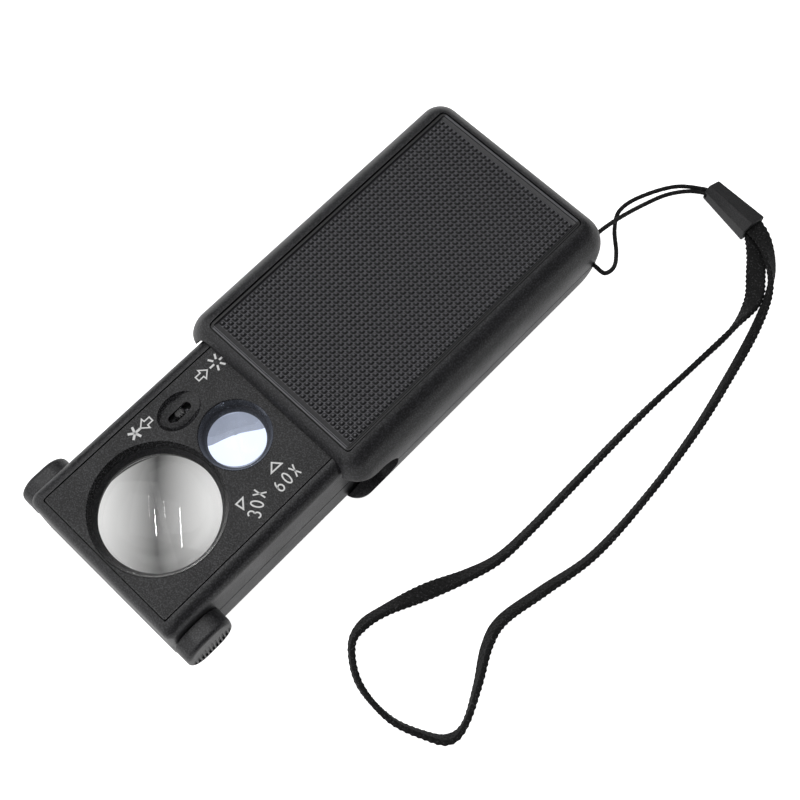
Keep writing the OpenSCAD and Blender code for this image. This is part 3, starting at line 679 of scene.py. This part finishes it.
def drawer_blank(top):
    if not top:
        edge = DRAWER_SEAM - SEAM_GAP
        rings = [drawer_ring(DRAWER_BOTTOM, 0.2), drawer_ring(DRAWER_BOTTOM + 0.2)]
        rings += [drawer_ring(DRAWER_BOTTOM + d) for d in (0.8, 1.6, 3.0)]
        return skin(rings + [drawer_ring(edge - SEAM_CHAMFER), drawer_ring(edge, SEAM_CHAMFER)])
    edge = DRAWER_SEAM + SEAM_GAP
    rings = [drawer_ring(edge, SEAM_CHAMFER), drawer_ring(edge + SEAM_CHAMFER)]
    for k in range(13):
        rings.append(drawer_ring(DRAWER_TOP - DRAWER_ROUND * (1 - math.sin(math.radians(90 * k / 12)))))
    return skin(rings)


def well_cutter(lens, view_r):
    """Conical lens well whose rim is rounded over where it meets the face."""
    rim = 0.3
    wide = view_r + WELL_FLARE
    profile = [(view_r, DECK_Z - 2), (view_r, DECK_Z + 0.1), (wide - rim * 0.4, DRAWER_TOP - rim)]
    profile += [(wide - rim * 0.4 + rim * (1 - math.cos(a)), DRAWER_TOP - rim + rim * math.sin(a))
                for a in [math.radians(90 * k / 5) for k in range(1, 6)]]
    profile.append((wide + rim * 0.6, DRAWER_TOP + 1))
    return lathe(profile, lens.x, lens.y)


def stadium(x, y, r, length, low, high, steps=12):
    arc = [math.radians(180 * k / steps) for k in range(steps + 1)]
    outline = [(x + r * math.cos(a), y + length / 2 + r * math.sin(a)) for a in arc]
    outline += [(x - r * math.cos(a), y - length / 2 - r * math.sin(a)) for a in arc]
    return prism(outline, low, high)


DISH_RX = 2.9
DISH_RY = 3.9
DISH_DEPTH = 0.95
DISH_LIFT = 0.35


def dish_cutter():
    """Oval bowl round the switch."""
    rings = []
    rise = DISH_DEPTH + DISH_LIFT
    flare = 1 / math.sqrt(1 - (DISH_LIFT / rise) ** 2)
    for k in range(1, 13):
        a = math.radians(-90 + 90 * k / 12)
        z = DRAWER_TOP + DISH_LIFT + rise * math.sin(a)
        rings.append([(SWITCH.x + flare * DISH_RX * math.cos(a) * math.cos(t),
                       SWITCH.y + flare * DISH_RY * math.cos(a) * math.sin(t), z)
                      for t in [2 * math.pi * i / 64 for i in range(64)]])
    return skin(rings)


def build_drawer_shells():
    inner = (DRAWER_W / 2 - WALL, DRAWER_FRONT + WALL, DRAWER_FRONT + DRAWER_L - WALL)
    face_low, face_high = cad_box("face_plate")
    gap = 0.13
    upper = boolean(drawer_blank(True), [
        box((-inner[0], inner[1], 0), (inner[0], inner[2], DECK_Z)),
        prism(rounded_outline(face_high.x - face_low.x + 2 * gap, face_high.y - face_low.y + 2 * gap, 0.35,
                              0, (face_low.y + face_high.y) / 2, steps=4), face_low.z, DRAWER_TOP + 1),
        well_cutter(LARGE_LENS, LARGE_VIEW_R),
        well_cutter(SMALL_LENS, SMALL_VIEW_R),
        stadium(SWITCH.x, SWITCH.y, 2.9, 2.0, DECK_Z - 1, face_low.z + 1),
    ])
    soften(upper, 0.12, angle=50)
    to_piece(upper, "drawer_upper", "drawer", SHELL, ["drawer_top_shell"])

    floor = DRAWER_BOTTOM + WALL
    cutters = [box((-inner[0], inner[1], floor), (inner[0], inner[2], DRAWER_TOP))]
    bevel = 0.35
    cutters += [lathe([(view + bevel, DRAWER_BOTTOM - 1), (view + bevel, DRAWER_BOTTOM),
                       (view, DRAWER_BOTTOM + bevel), (view, DRAWER_TOP)], lens.x, lens.y)
                for lens, view in ((LARGE_LENS, LARGE_VIEW_R), (SMALL_LENS, SMALL_VIEW_R))]
    for node in ("white_led", "uv_led"):
        spot = centre(node)
        cutters.append(lathe([(2.2, DRAWER_BOTTOM - 1), (2.2, DRAWER_BOTTOM), (1.65, DRAWER_BOTTOM + 0.6),
                              (1.65, DRAWER_TOP)], spot.x, spot.y, steps=48))
    low, high = cad_box("battery_door")
    slack = 0.12
    cutters.append(box((low.x - slack, low.y - slack, high.z - 0.62),
                       (high.x + slack, high.y + 2, high.z + slack)))
    cutters.append(box((low.x + 0.5 - slack, low.y - slack, 0), (high.x - 0.5 + slack, high.y + 2, high.z)))
    seat = DRAWER_BOTTOM + 0.75
    for x, y in screw_places():
        cutters.append(lathe([(1.55, DRAWER_BOTTOM - 1), (1.55, seat), (1.0, seat), (1.0, DRAWER_TOP)],
                             x, y, steps=32))
    # Grooves that run along the sleeve's stops
    for groove_x in (-14.8, 14.8):
        cutters.append(box((groove_x - 0.6, DRAWER_FRONT + 2.3, 0),
                           (groove_x + 0.6, DRAWER_FRONT + 39.8, DRAWER_BOTTOM + 0.9)))
    lower = boolean(drawer_blank(False), cutters)
    soften(lower, 0.12, angle=50)
    to_piece(lower, "drawer_lower", "drawer", SHELL, ["drawer_bottom_shell"])


def screw_places():
    """Centres of the four drawer screws, from the corners of their node's box."""
    low, high = cad_box("drawer_screws")
    r = 1.4
    return [(x, y) for x in (low.x + r, high.x - r) for y in (low.y + r, high.y - r)]


def build_face_plate():
    low, high = cad_box("face_plate")
    rim = 0.2
    cy = (low.y + high.y) / 2
    w, l = high.x - low.x, high.y - low.y
    steps = [(0.0, low.z), (0.0, high.z - rim), (rim * 0.3, high.z - rim * 0.3), (rim, high.z)]
    blank = skin([[(x, y, z) for x, y in rounded_outline(w - 2 * inset, l - 2 * inset, 0.4, 0, cy, steps=4)]
                  for inset, z in steps])
    plate = boolean(blank, [well_cutter(LARGE_LENS, LARGE_VIEW_R), well_cutter(SMALL_LENS, SMALL_VIEW_R),
                            dish_cutter(),
                            stadium(SWITCH.x, SWITCH.y, 0.78, 2.9, low.z - 1, high.z)])
    to_piece(plate, "face_panel", "drawer", FACE, ["face_plate"], smooth_angle=30)


FLUTE_PITCH = 0.72
FLUTE_W = 0.42
FLUTE_DEPTH = 0.3
FLUTE_PAIRS = 5
FLUTE_TOP = 0.9


def build_grip(side):
    """Pull grip: a round-cornered block with a soft rim and flutes that start in small arches."""
    node = "left_pull_grip" if side < 0 else "right_pull_grip"
    low, high = cad_box(node)
    outer = max(abs(low.x), abs(high.x))
    root = DRAWER_W / 2 + 0.03
    rim = 0.8
    levels = [(0.12, root), (0.0, root + 0.12)]
    levels += [(rim * (1 - math.cos(a)), outer - rim + rim * math.sin(a))
               for a in [math.radians(90 * k / 8) for k in range(9)]]
    block = skin([[(x, y, z) for x, y in rounded_outline(GRIP_L - 2 * inset, GRIP_H - 2 * inset,
                                                         GRIP_CORNER_R - inset, steps=14)]
                  for inset, z in levels])
    flutes = []
    for i in range(-FLUTE_PAIRS, FLUTE_PAIRS + 1):
        top = FLUTE_TOP - 0.03 * i * i
        bottom = -GRIP_H / 2 + 0.75 + 0.04 * i * i
        flutes.append(stadium(i * FLUTE_PITCH, (top + bottom) / 2, FLUTE_W / 2, top - bottom - FLUTE_W,
                              outer - FLUTE_DEPTH, outer + 1, steps=10))
    block = boolean(block, flutes)
    soften(block, 0.07, angle=50)
    stub = lathe([(1.5, root - WALL), (1.5, root)], 0, 0, steps=32)
    block = joined(block, stub)
    turn(block, lambda p: (side * p.z, GRIP_Y + p.x, GRIP_Z + p.y))
    name = "pull_grip_left" if side < 0 else "pull_grip_right"
    to_piece(block, name, "drawer", SHELL, [node])


def build_lens(node, name):
    """Polished lens with two spherical faces, a ground edge and tiny chamfers."""
    low, high = cad_box(node)
    mid = (low + high) / 2
    r = (high.x - low.x) / 2
    edge = 1.6 if node == "large_lens" else 1.2
    curve = 30.0 if node == "large_lens" else 10.0
    crown = (high.z - low.z) / 2
    chamfer = 0.12
    span = math.asin((r - chamfer) / curve)
    upper = [(curve * math.sin(span * k / 20), mid.z + crown - curve * (1 - math.cos(span * k / 20)))
             for k in range(20, 0, -1)]
    lower = [(radius, 2 * mid.z - z) for radius, z in reversed(upper)]
    profile = lower + [(r, mid.z - edge / 2 + 0.05), (r, mid.z + edge / 2 - 0.05)] + upper
    glass = LARGE_GLASS if node == "large_lens" else SMALL_GLASS
    to_piece(lathe(profile, mid.x, mid.y), name, "drawer", glass, [node], smooth_angle=50)


def build_knob():
    """Switch knob: a small ribbed post that stands in the dish."""
    low, high = cad_box("switch_knob")
    cx, cy = (low.x + high.x) / 2, (low.y + high.y) / 2
    w, l = high.x - low.x, high.y - low.y
    rings = []
    for inset, z in [(0.0, low.z), (0.0, high.z - 0.3), (0.1, high.z - 0.08), (0.25, high.z)]:
        outline = rounded_outline(w - 2 * inset, l - 2 * inset, 0.98 * (w / 2 - inset), cx, cy, steps=8)
        rings.append([(x, y, z) for x, y in outline])
    grooves = [box((low.x - 1, cy + d - 0.1, high.z - 0.22), (high.x + 1, cy + d + 0.1, high.z + 1))
               for d in (-0.45, 0.0, 0.45)]
    knob = boolean(skin(rings), grooves)
    to_piece(knob, "switch_button", "switch", GLOSS, ["switch_knob"])


def build_screws():
    """Cross-head screws with domed heads, seen from under the drawer."""
    low, high = cad_box("drawer_screws")
    parts = []
    for x, y in screw_places():
        profile = [(0.9, low.z), (1.25, low.z + 0.12), (1.4, low.z + 0.4), (1.4, low.z + 0.7),
                   (0.8, low.z + 0.7)]
        pitch = 0.7
        z = low.z + 1.2
        while z < high.z - 0.9:
            profile += [(0.62, z), (0.8, z + pitch / 2)]
            z += pitch
        profile += [(0.6, high.z - 0.5), (0.15, high.z)]
        slots = [box((x - 0.85, y - 0.17, low.z - 1), (x + 0.85, y + 0.17, low.z + 0.38)),
                 box((x - 0.17, y - 0.85, low.z - 1), (x + 0.17, y + 0.85, low.z + 0.38))]
        parts.append(boolean(lathe(profile, x, y, steps=32), slots))
    to_piece(joined(*parts), "cross_head_screws", "drawer", STEEL, ["drawer_screws"])


# ------------------------------------------------------------------ printed marks

INK_W = 0.3
INK_LIFT = 0.03


def stroke(points, closed=False, width=INK_W):
    """Flat ink line along (x, y) points, with mitred joints."""
    count = len(points)
    left, right = [], []
    for i, p in enumerate(points):
        before = points[i - 1] if i or closed else p
        after = points[(i + 1) % count] if i < count - 1 or closed else p
        a = Vector((p[0] - before[0], p[1] - before[1]))
        b = Vector((after[0] - p[0], after[1] - p[1]))
        a = a.normalized() if a.length else b.normalized()
        b = b.normalized() if b.length else a
        along = (a + b).normalized()
        grow = width / 2 / max(0.35, along.dot(a))
        normal = Vector((-along.y, along.x)) * grow
        left.append((p[0] + normal.x, p[1] + normal.y))
        right.append((p[0] - normal.x, p[1] - normal.y))
    top = DRAWER_TOP + INK_LIFT
    rings = [[(lx, ly, top - 0.05), (rx, ry, top - 0.05), (rx, ry, top), (lx, ly, top)]
             for (lx, ly), (rx, ry) in zip(left, right)]
    return skin(rings, closed=closed)


def place(points, x, y, reading):
    """Glyph points, drawn upright with 'reading' as the direction of writing in degrees."""
    c, s = math.cos(math.radians(reading)), math.sin(math.radians(reading))
    return [(x + px * c - py * s, y + px * s + py * c) for px, py in points]


GLYPH_W = 1.2
GLYPH_H = 2.3


def oval(w, h, start=0, end=360, cx=0.0, cy=0.0, steps=20):
    angles = [math.radians(start + (end - start) * k / steps) for k in range(steps + 1)]
    return [(cx + w / 2 * math.cos(a), cy + h / 2 * math.sin(a)) for a in angles]


def glyph_strokes(sign):
    """Centre lines of one numeral or cross, as (points, closed)."""
    w, h = GLYPH_W - INK_W, GLYPH_H - INK_W
    if sign == "0":
        return [(oval(w, h)[:-1], True)]
    if sign == "6":
        bowl = oval(w, h * 0.56, cx=0, cy=-h * 0.22)[:-1]
        return [(bowl, True), (oval(w * 1.7, h * 1.25, 180, 118, w * 0.35, -h * 0.13, 6), False)]
    if sign == "3":
        upper = oval(w, h * 0.52, 150, -70, 0, h * 0.24, 12)
        lower = oval(w, h * 0.52, 70, -150, 0, -h * 0.24, 12)
        return [(upper, False), (lower, False)]
    return [([(-w / 2, -h / 2), (w / 2, h / 2)], False), ([(-w / 2, h / 2), (w / 2, -h / 2)], False)]


def build_marks():
    """Sun and star signs, arrows, pointers and magnification numerals in white ink."""
    parts = []

    def ink(points, closed=False, width=INK_W):
        parts.append(stroke([(x, DRAWER_FRONT + v) for x, v in points], closed, width))

    # Sun sign: six short rays round an empty middle
    sun = (-11.1, 36.2)
    for a in (90, 150, 210, 270, 330, 30):
        c, s = math.cos(math.radians(a)), math.sin(math.radians(a))
        ink([(sun[0] + 0.55 * c, sun[1] + 0.55 * s), (sun[0] + 1.5 * c, sun[1] + 1.5 * s)], width=0.34)
    # Outline arrows towards the sun and towards the star
    for tip, way, x in ((34.2, 1, -11.2), (20.1, -1, -11.6)):
        head, neck, tail = tip - way * 1.1, tip - way * 1.15, tip - way * 2.2
        ink([(x, tip), (x + 1.0, head), (x + 0.42, neck), (x + 0.42, tail), (x - 0.42, tail),
             (x - 0.42, neck), (x - 1.0, head)], closed=True, width=0.22)
    # Five-armed star
    star = (-11.6, 18.9)
    for a in (90, 162, 234, 306, 18):
        c, s = math.cos(math.radians(a)), math.sin(math.radians(a))
        ink([(star[0] + 0.1 * c, star[1] + 0.1 * s), (star[0] + 1.15 * c, star[1] + 1.15 * s)], width=0.4)
    # Pointers beside the two lenses
    ink([(7.5, 30.3), (8.75, 31.3), (8.7, 29.1)], closed=True, width=0.26)
    ink([(8.35, 23.2), (8.35, 21.75), (9.75, 22.0)], closed=True, width=0.26)
    # Magnification numerals
    for signs, start, pitch, reading in (("60x", (11.05, 28.45), 1.72, 90),
                                         ("30x", (11.6, 22.55), 1.72, 122)):
        c, s = math.cos(math.radians(reading)), math.sin(math.radians(reading))
        for i, sign in enumerate(signs):
            x, v = start[0] + i * pitch * c, start[1] + i * pitch * s
            for points, closed in glyph_strokes(sign):
                ink(place(points, x, v, reading), closed, 0.25)
    to_piece(joined(*parts), "printed_marks", "drawer", INK)


# ------------------------------------------------------------------ lanyard


def spline(points, steps):
    """Catmull-Rom curve through points of any dimension."""
    out = []
    last = len(points) - 1
    for i in range(last):
        p0, p1, p2, p3 = (points[max(i - 1, 0)], points[i], points[i + 1], points[min(i + 2, last)])
        for k in range(steps):
            t = k / steps
            out.append(tuple(0.5 * (2 * b + (c - a) * t + (2 * a - 5 * b + 4 * c - d) * t * t
                                    + (3 * b - a - 3 * c + d) * t ** 3)
                             for a, b, c, d in zip(p0, p1, p2, p3)))
    out.append(tuple(points[last]))
    return out


KNOT = Vector((24.2, 58.5, 1.6))
CONNECTOR_TURN = math.radians(-7)
CONNECTOR_NOSE = 1.3
CONNECTOR_L = 10.8
CONNECTOR_HALF = (1.75, 2.55)
CONNECTOR_TOP = (3.5, 4.1)
CONNECTOR_EAVE = (2.6, 3.1)
CONNECTOR_RIDGE_Y = -0.7
STRAP_ROOT = 6.6
STRAP_EXIT = 9.9
CORD_R = 0.4


def in_connector(x, y):
    """Place in the frame of a point along and across the connector, measured from its knot."""
    c, s = math.cos(CONNECTOR_TURN), math.sin(CONNECTOR_TURN)
    return KNOT.x + x * c - y * s, KNOT.y + x * s + y * c


def build_cord():
    """Thin braided cord: out of the side hole and out of the back hole, down to the connector."""
    turn_points = corner_arc(10)
    side = [(22.2, 27.7, 10.8), (22.1, 30.6, 9), (20, 34.2, 6.6), (16.4, 38.4, 4.8), (14.3, 42.6, 3.6),
            (15, 48, 2.6), (18.4, 54.8, 1.8)]
    back = [(16.4, 34.4, 10.7), (16.4, 40, 7.6), (17, 46.2, 4.6), (18.2, 51.4, 2.8), (20.6, 55.5, 1.8)]
    ends = [(KNOT[0], KNOT[1] + s * (CORD_R + 0.03), KNOT[2]) for s in (1, -1)]
    path = spline([ends[0]] + side[::-1] + [turn_points[0]], 26)
    path += turn_points[1:-1]
    path += spline([turn_points[-1]] + back + [ends[1]], 30)
    sides = 18

    def plait(i):
        return [CORD_R * (0.95 + 0.05 * math.sin(3 * 2 * math.pi * k / sides + i * 0.55)
                          * math.sin(3 * 2 * math.pi * k / sides - i * 0.55)) for k in range(sides)]

    cord = tube(path, plait, sides)
    knot = lathe([(0.5, KNOT[2] - 0.8), (0.95, KNOT[2] - 0.5), (1.0, KNOT[2]), (0.95, KNOT[2] + 0.5),
                  (0.5, KNOT[2] + 0.8)], KNOT[0], KNOT[1], steps=32)
    to_piece(joined(cord, knot), "braided_cord", "sleeve", CORD, ["lanyard_cord"],
             smooth_angle=60)


def build_connector():
    """Roof-shaped end piece with soft edges, widening from the cord to the strap."""
    def between(ends, t):
        return ends[0] + (ends[1] - ends[0]) * t

    rings = []
    ridge = CONNECTOR_RIDGE_Y
    for t, pinch in [(0.0, 0.15), (0.015, 0.0), (0.35, 0.0), (0.7, 0.0), (0.985, 0.0), (1.0, 0.12)]:
        half = between(CONNECTOR_HALF, t) - pinch
        top = between(CONNECTOR_TOP, t) - pinch
        eave = between(CONNECTOR_EAVE, t) - pinch
        low = 0.05 + pinch
        section = [(-half + 0.4, low), (half - 0.4, low), (half - 0.1, low + 0.12), (half, low + 0.4),
                   (half, eave - 0.15), (half - 0.12, eave + 0.02), (ridge + 0.3, top - 0.08),
                   (ridge + 0.12, top), (ridge - 0.12, top), (ridge - 0.25, top - 0.08),
                   (-half + 0.1, eave + 0.05), (-half, eave - 0.2), (-half, low + 0.4),
                   (-half + 0.1, low + 0.12)]
        rings.append([(CONNECTOR_L * t - CONNECTOR_NOSE, y, z) for y, z in section])
    end = CONNECTOR_L - CONNECTOR_NOSE
    # Flares towards the side the cord comes from, so that the connector can swing
    mouth = [(-2, -3.45), (0, -1.07), (0, 0.9), (-2, 0.9)]
    block = boolean(skin(rings), [
        lathe([(1.06, KNOT.z - 0.86), (1.06, KNOT.z + 0.86)], 0, 0, steps=32),
        prism(mouth, KNOT.z - 0.65, KNOT.z + 0.65),
        box((end - 3.4, -1.95, 0.4), (end + 1, 1.95, 2.8)),
    ])
    turn(block, lambda p: (*in_connector(p.x, p.y), p.z))
    to_piece(block, "strap_connector", "strap", MATT, ["lanyard_connector"], smooth_angle=30)


STRAP_W = 3.4
STRAP_T = 0.9
RIB_PITCH = 1.0
STRAP_LANES = 4
STRAP_STEPS = 20
STRAP_POINTS = [
    (*in_connector(STRAP_ROOT, 0.05), 0, 2.15), (*in_connector(STRAP_EXIT, 0.1), 0, 2.15),
    (37.6, 55.8, 32, 2.35), (41.3, 52.6, 60, 2.15), (44.1, 48.25, 94, 1.95),
    (46.5, 41.3, 106, 1.9), (48.6, 32, 106, 1.9), (50.8, 19.9, 104, 1.9), (52.2, 6, 102, 1.9),
    (52.4, -8.4, 110, 1.8), (50.3, -18.9, 120, 1.75), (48.7, -27, 120, 1.75), (49.7, -31.9, 113, 1.85),
    (52.9, -37.7, 102, 1.9), (55.5, -43.4, 98, 1.9), (55.3, -46.9, 116, 1.8), (52.4, -49, 109, 1.85),
    (46.4, -51.1, 102, 1.9), (39.2, -50.5, 88, 1.9), (34.1, -47.1, 80, 1.9),
    (32.9, -43.4, 60, 1.75), (33.9, -38.9, 56, 1.75), (36.5, -32.2, 33, 1.4),
    (39.5, -25.7, 50, 1.65), (41.4, -20, 61, 1.8), (41.9, -13, 68, 1.85), (42, -1, 71, 1.85),
    (42.2, 15, 75, 1.9), (43, 29, 82, 1.9), (43.5, 39, 82, 1.9), (42.7, 45.85, 40, 1.6),
    (39.5, 51, 16, 1.1), (37, 54.3, 5, 1),
    (*in_connector(STRAP_EXIT, -0.2), 0, 1.02), (*in_connector(STRAP_ROOT, -0.05), 0, 1.02),
]


def evenly(path, gap):
    """The same path with points a fixed distance apart."""
    out = [path[0]]
    left = gap
    for a, b in zip(path, path[1:]):
        length = math.dist(a[:2] + a[3:], b[:2] + b[3:])
        done = 0.0
        while length - done >= left:
            done += left
            t = done / length
            out.append(tuple(p + (q - p) * t for p, q in zip(a, b)))
            left = gap
        left -= length - done
    return out


def build_strap():
    """Flat woven strap: rows of thread crowns in staggered lanes, with a slightly bumpy edge."""
    path = evenly(spline(STRAP_POINTS, 24), RIB_PITCH / 4)
    rings = []
    for i, (x, y, roll, z) in enumerate(path):
        ahead = Vector(path[min(i + 1, len(path) - 1)][:2]) - Vector(path[max(i - 1, 0)][:2])
        ahead.normalize()
        side = Vector((ahead.y, -ahead.x, 0))
        a = math.radians(roll)
        wide = side * math.cos(a) + Vector((0, 0, math.sin(a)))
        thin = Vector((0, 0, math.cos(a))) - side * math.sin(a)
        ring = []
        for face in (1, -1):
            for k in range(STRAP_STEPS + 1):
                u = (k / STRAP_STEPS * 2 - 1) * face
                lane = math.sin(math.pi * STRAP_LANES * (u + 1) / 2)
                phase = math.pi if lane > 0 else 0
                crown = 0.5 + 0.5 * math.sin(math.pi * i / 2 + phase) * abs(lane) ** 0.5
                edge = 0.75 + 0.25 * math.sqrt(max(0.0, 1 - abs(u) ** 10))
                lift = STRAP_T / 2 * (0.88 + 0.34 * crown) * edge
                reach = STRAP_W / 2 * (0.98 + 0.06 * math.sin(math.pi * i / 2))
                ring.append(Vector((x, y, z)) + wide * (u * reach) + thin * (lift * face))
        rings.append(ring)
    to_piece(skin(rings), "woven_strap", "strap", STRAP, ["lanyard_strap"], smooth_angle=70)


# ------------------------------------------------------------------ carried-over nodes


def finish_node(node, material, smooth_angle=35):
    """Gives a CAD node its procedural material; the shape stays as it is."""
    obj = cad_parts[node]
    obj.data.materials.clear()
    obj.data.materials.append(material)
    obj.data.shade_smooth()
    obj.data.set_sharp_from_angle(angle=math.radians(smooth_angle))


def finish_inner_parts():
    finish_node("lens_carrier", GLOSS)
    finish_node("battery_door", SHELL)
    finish_node("circuit_board", solder_mask())
    finish_node("resistors", gloss_black("chip_black", 0.02, 0.5))
    finish_node("switch_body", STEEL)
    finish_node("button_cells", NICKEL)
    finish_node("positive_contact", BRASS)
    finish_node("negative_contact", BRASS)
    finish_node("white_led", resin("led_white", (0.93, 0.96, 1.0, 1), 1.5))
    finish_node("uv_led", resin("led_violet", (0.6, 0.5, 0.95, 1), 0.0))


# ------------------------------------------------------------------ stage, light and camera


def build_floor():
    """Plain white table lit like a light box; through the lenses it shows painted shade, a darker band keyed
    to the large lens's place.
    """
    bm = bmesh.new()
    bmesh.ops.create_grid(bm, x_segments=1, y_segments=1, size=3.0)
    mesh = bpy.data.meshes.new("floor")
    bm.to_mesh(mesh)
    bm.free()
    floor = bpy.data.objects.new("floor", mesh)
    floor.location = (0, 0, -0.0002)
    bpy.context.scene.collection.objects.link(floor)
    n = Nodes("floor_white")
    # Painted shade: seen through glass, the floor's glow is darkest along a diagonal line by the large lens
    # and rises away from it.
    spot = n.add("ShaderNodeSeparateXYZ", Vector=n.place)
    aside = n.math("ADD", n.math("SUBTRACT", spot.outputs["X"], LARGE_LENS.x * MM),
                   n.math("SUBTRACT", spot.outputs["Y"], LARGE_LENS.y * MM))
    painted_lens_shade = n.span(n.math("ABSOLUTE", n.math("ADD", aside, 0.004)), 0.0, 0.85, 0.0, 0.0075)
    path = n.add("ShaderNodeLightPath")
    seen, through = path.outputs["Is Camera Ray"], path.outputs["Is Transmission Ray"]
    bounced = n.math("SUBTRACT", n.math("SUBTRACT", 1.0, seen), through)
    level = n.math("ADD", n.math("ADD", seen, n.math("MULTIPLY", through, painted_lens_shade)),
                   n.math("MULTIPLY", bounced, 0.36))
    # Painted shade: the base colour is darker for rays that pass through glass.
    n.set(Base_Color=n.mix(through, grey(0.9), grey(0.25)), Roughness=0.9, Emission_Color=(1, 1, 1, 1),
          Emission_Strength=level)
    floor.data.materials.append(n.material)


def area_light(name, where, aim, size, power):
    light = bpy.data.lights.new(name, "AREA")
    light.shape = "RECTANGLE"
    light.size, light.size_y = size
    light.energy = power
    obj = bpy.data.objects.new(name, light)
    obj.location = where
    obj.rotation_euler = (Vector(aim) - Vector(where)).to_track_quat("-Z", "Y").to_euler()
    bpy.context.scene.collection.objects.link(obj)
    return obj


def lamp_tube(name, start, end, aim, width, power):
    """Long thin lamp between two points, facing the aim."""
    start, end, aim = Vector(start), Vector(end), Vector(aim)
    middle = (start + end) / 2
    obj = area_light(name, middle, aim, ((end - start).length, width), power)
    back = (middle - aim).normalized()
    run = (end - start) - back * (end - start).dot(back)
    run.normalize()
    obj.rotation_euler = Matrix((run, back.cross(run), back)).transposed().to_euler()


# Two lamp tubes overhead, which the large lens shows as thin bright lines
TUBES = [("tube_one", (-0.159, 0.180, 0.872), (0.153, -0.077, 0.904)),
         ("tube_two", (-0.323, 0.010, 0.855), (-0.114, -0.168, 0.902))]


def build_lights():
    world = bpy.data.worlds.new("studio")
    bpy.context.scene.world = world
    world.use_nodes = True
    world.node_tree.nodes["Background"].inputs["Color"].default_value = (1, 1, 1, 1)
    world.node_tree.nodes["Background"].inputs["Strength"].default_value = 0.08
    area_light("key", (-0.25, -0.45, 0.55), (0, 0, 0), (1.4, 1.2), 5)
    area_light("top", (-0.20, 0.35, 0.85), (0, 0, 0), (1.2, 1.2), 3)
    lens = LARGE_LENS * MM
    for name, start, end in TUBES:
        lamp_tube(name, start, end, lens, 0.008, 0.36)


CAMERA_AZIMUTH = math.radians(43.51)
CAMERA_ELEVATION = math.radians(68.5)
CAMERA_TARGET = Vector((12.69, 17.80 - SLEEVE_L / 2, 10.4)) * MM
CAMERA_DISTANCE = 227.1 * MM
CAMERA_LENS = 61.85


def build_camera():
    data = bpy.data.cameras.new("camera")
    data.lens = CAMERA_LENS
    data.sensor_width = 36
    data.clip_start = 0.01
    camera = bpy.data.objects.new("camera", data)
    flat = math.cos(CAMERA_ELEVATION)
    back = Vector((math.sin(CAMERA_AZIMUTH) * flat, -math.cos(CAMERA_AZIMUTH) * flat,
                   math.sin(CAMERA_ELEVATION)))
    camera.location = CAMERA_TARGET + back * CAMERA_DISTANCE
    camera.rotation_euler = (-back).to_track_quat("-Z", "Y").to_euler()
    bpy.context.scene.collection.objects.link(camera)
    bpy.context.scene.camera = camera
    bpy.context.scene.view_settings.view_transform = "Standard"


build_sleeve()
build_panel(True)
build_panel(False)
build_drawer_shells()
build_face_plate()
build_grip(-1)
build_grip(1)
build_lens("large_lens", "lens_large")
build_lens("small_lens", "lens_small")
build_knob()
build_screws()
build_marks()
build_cord()
build_connector()
build_strap()
finish_inner_parts()
build_floor()
build_lights()
build_camera()
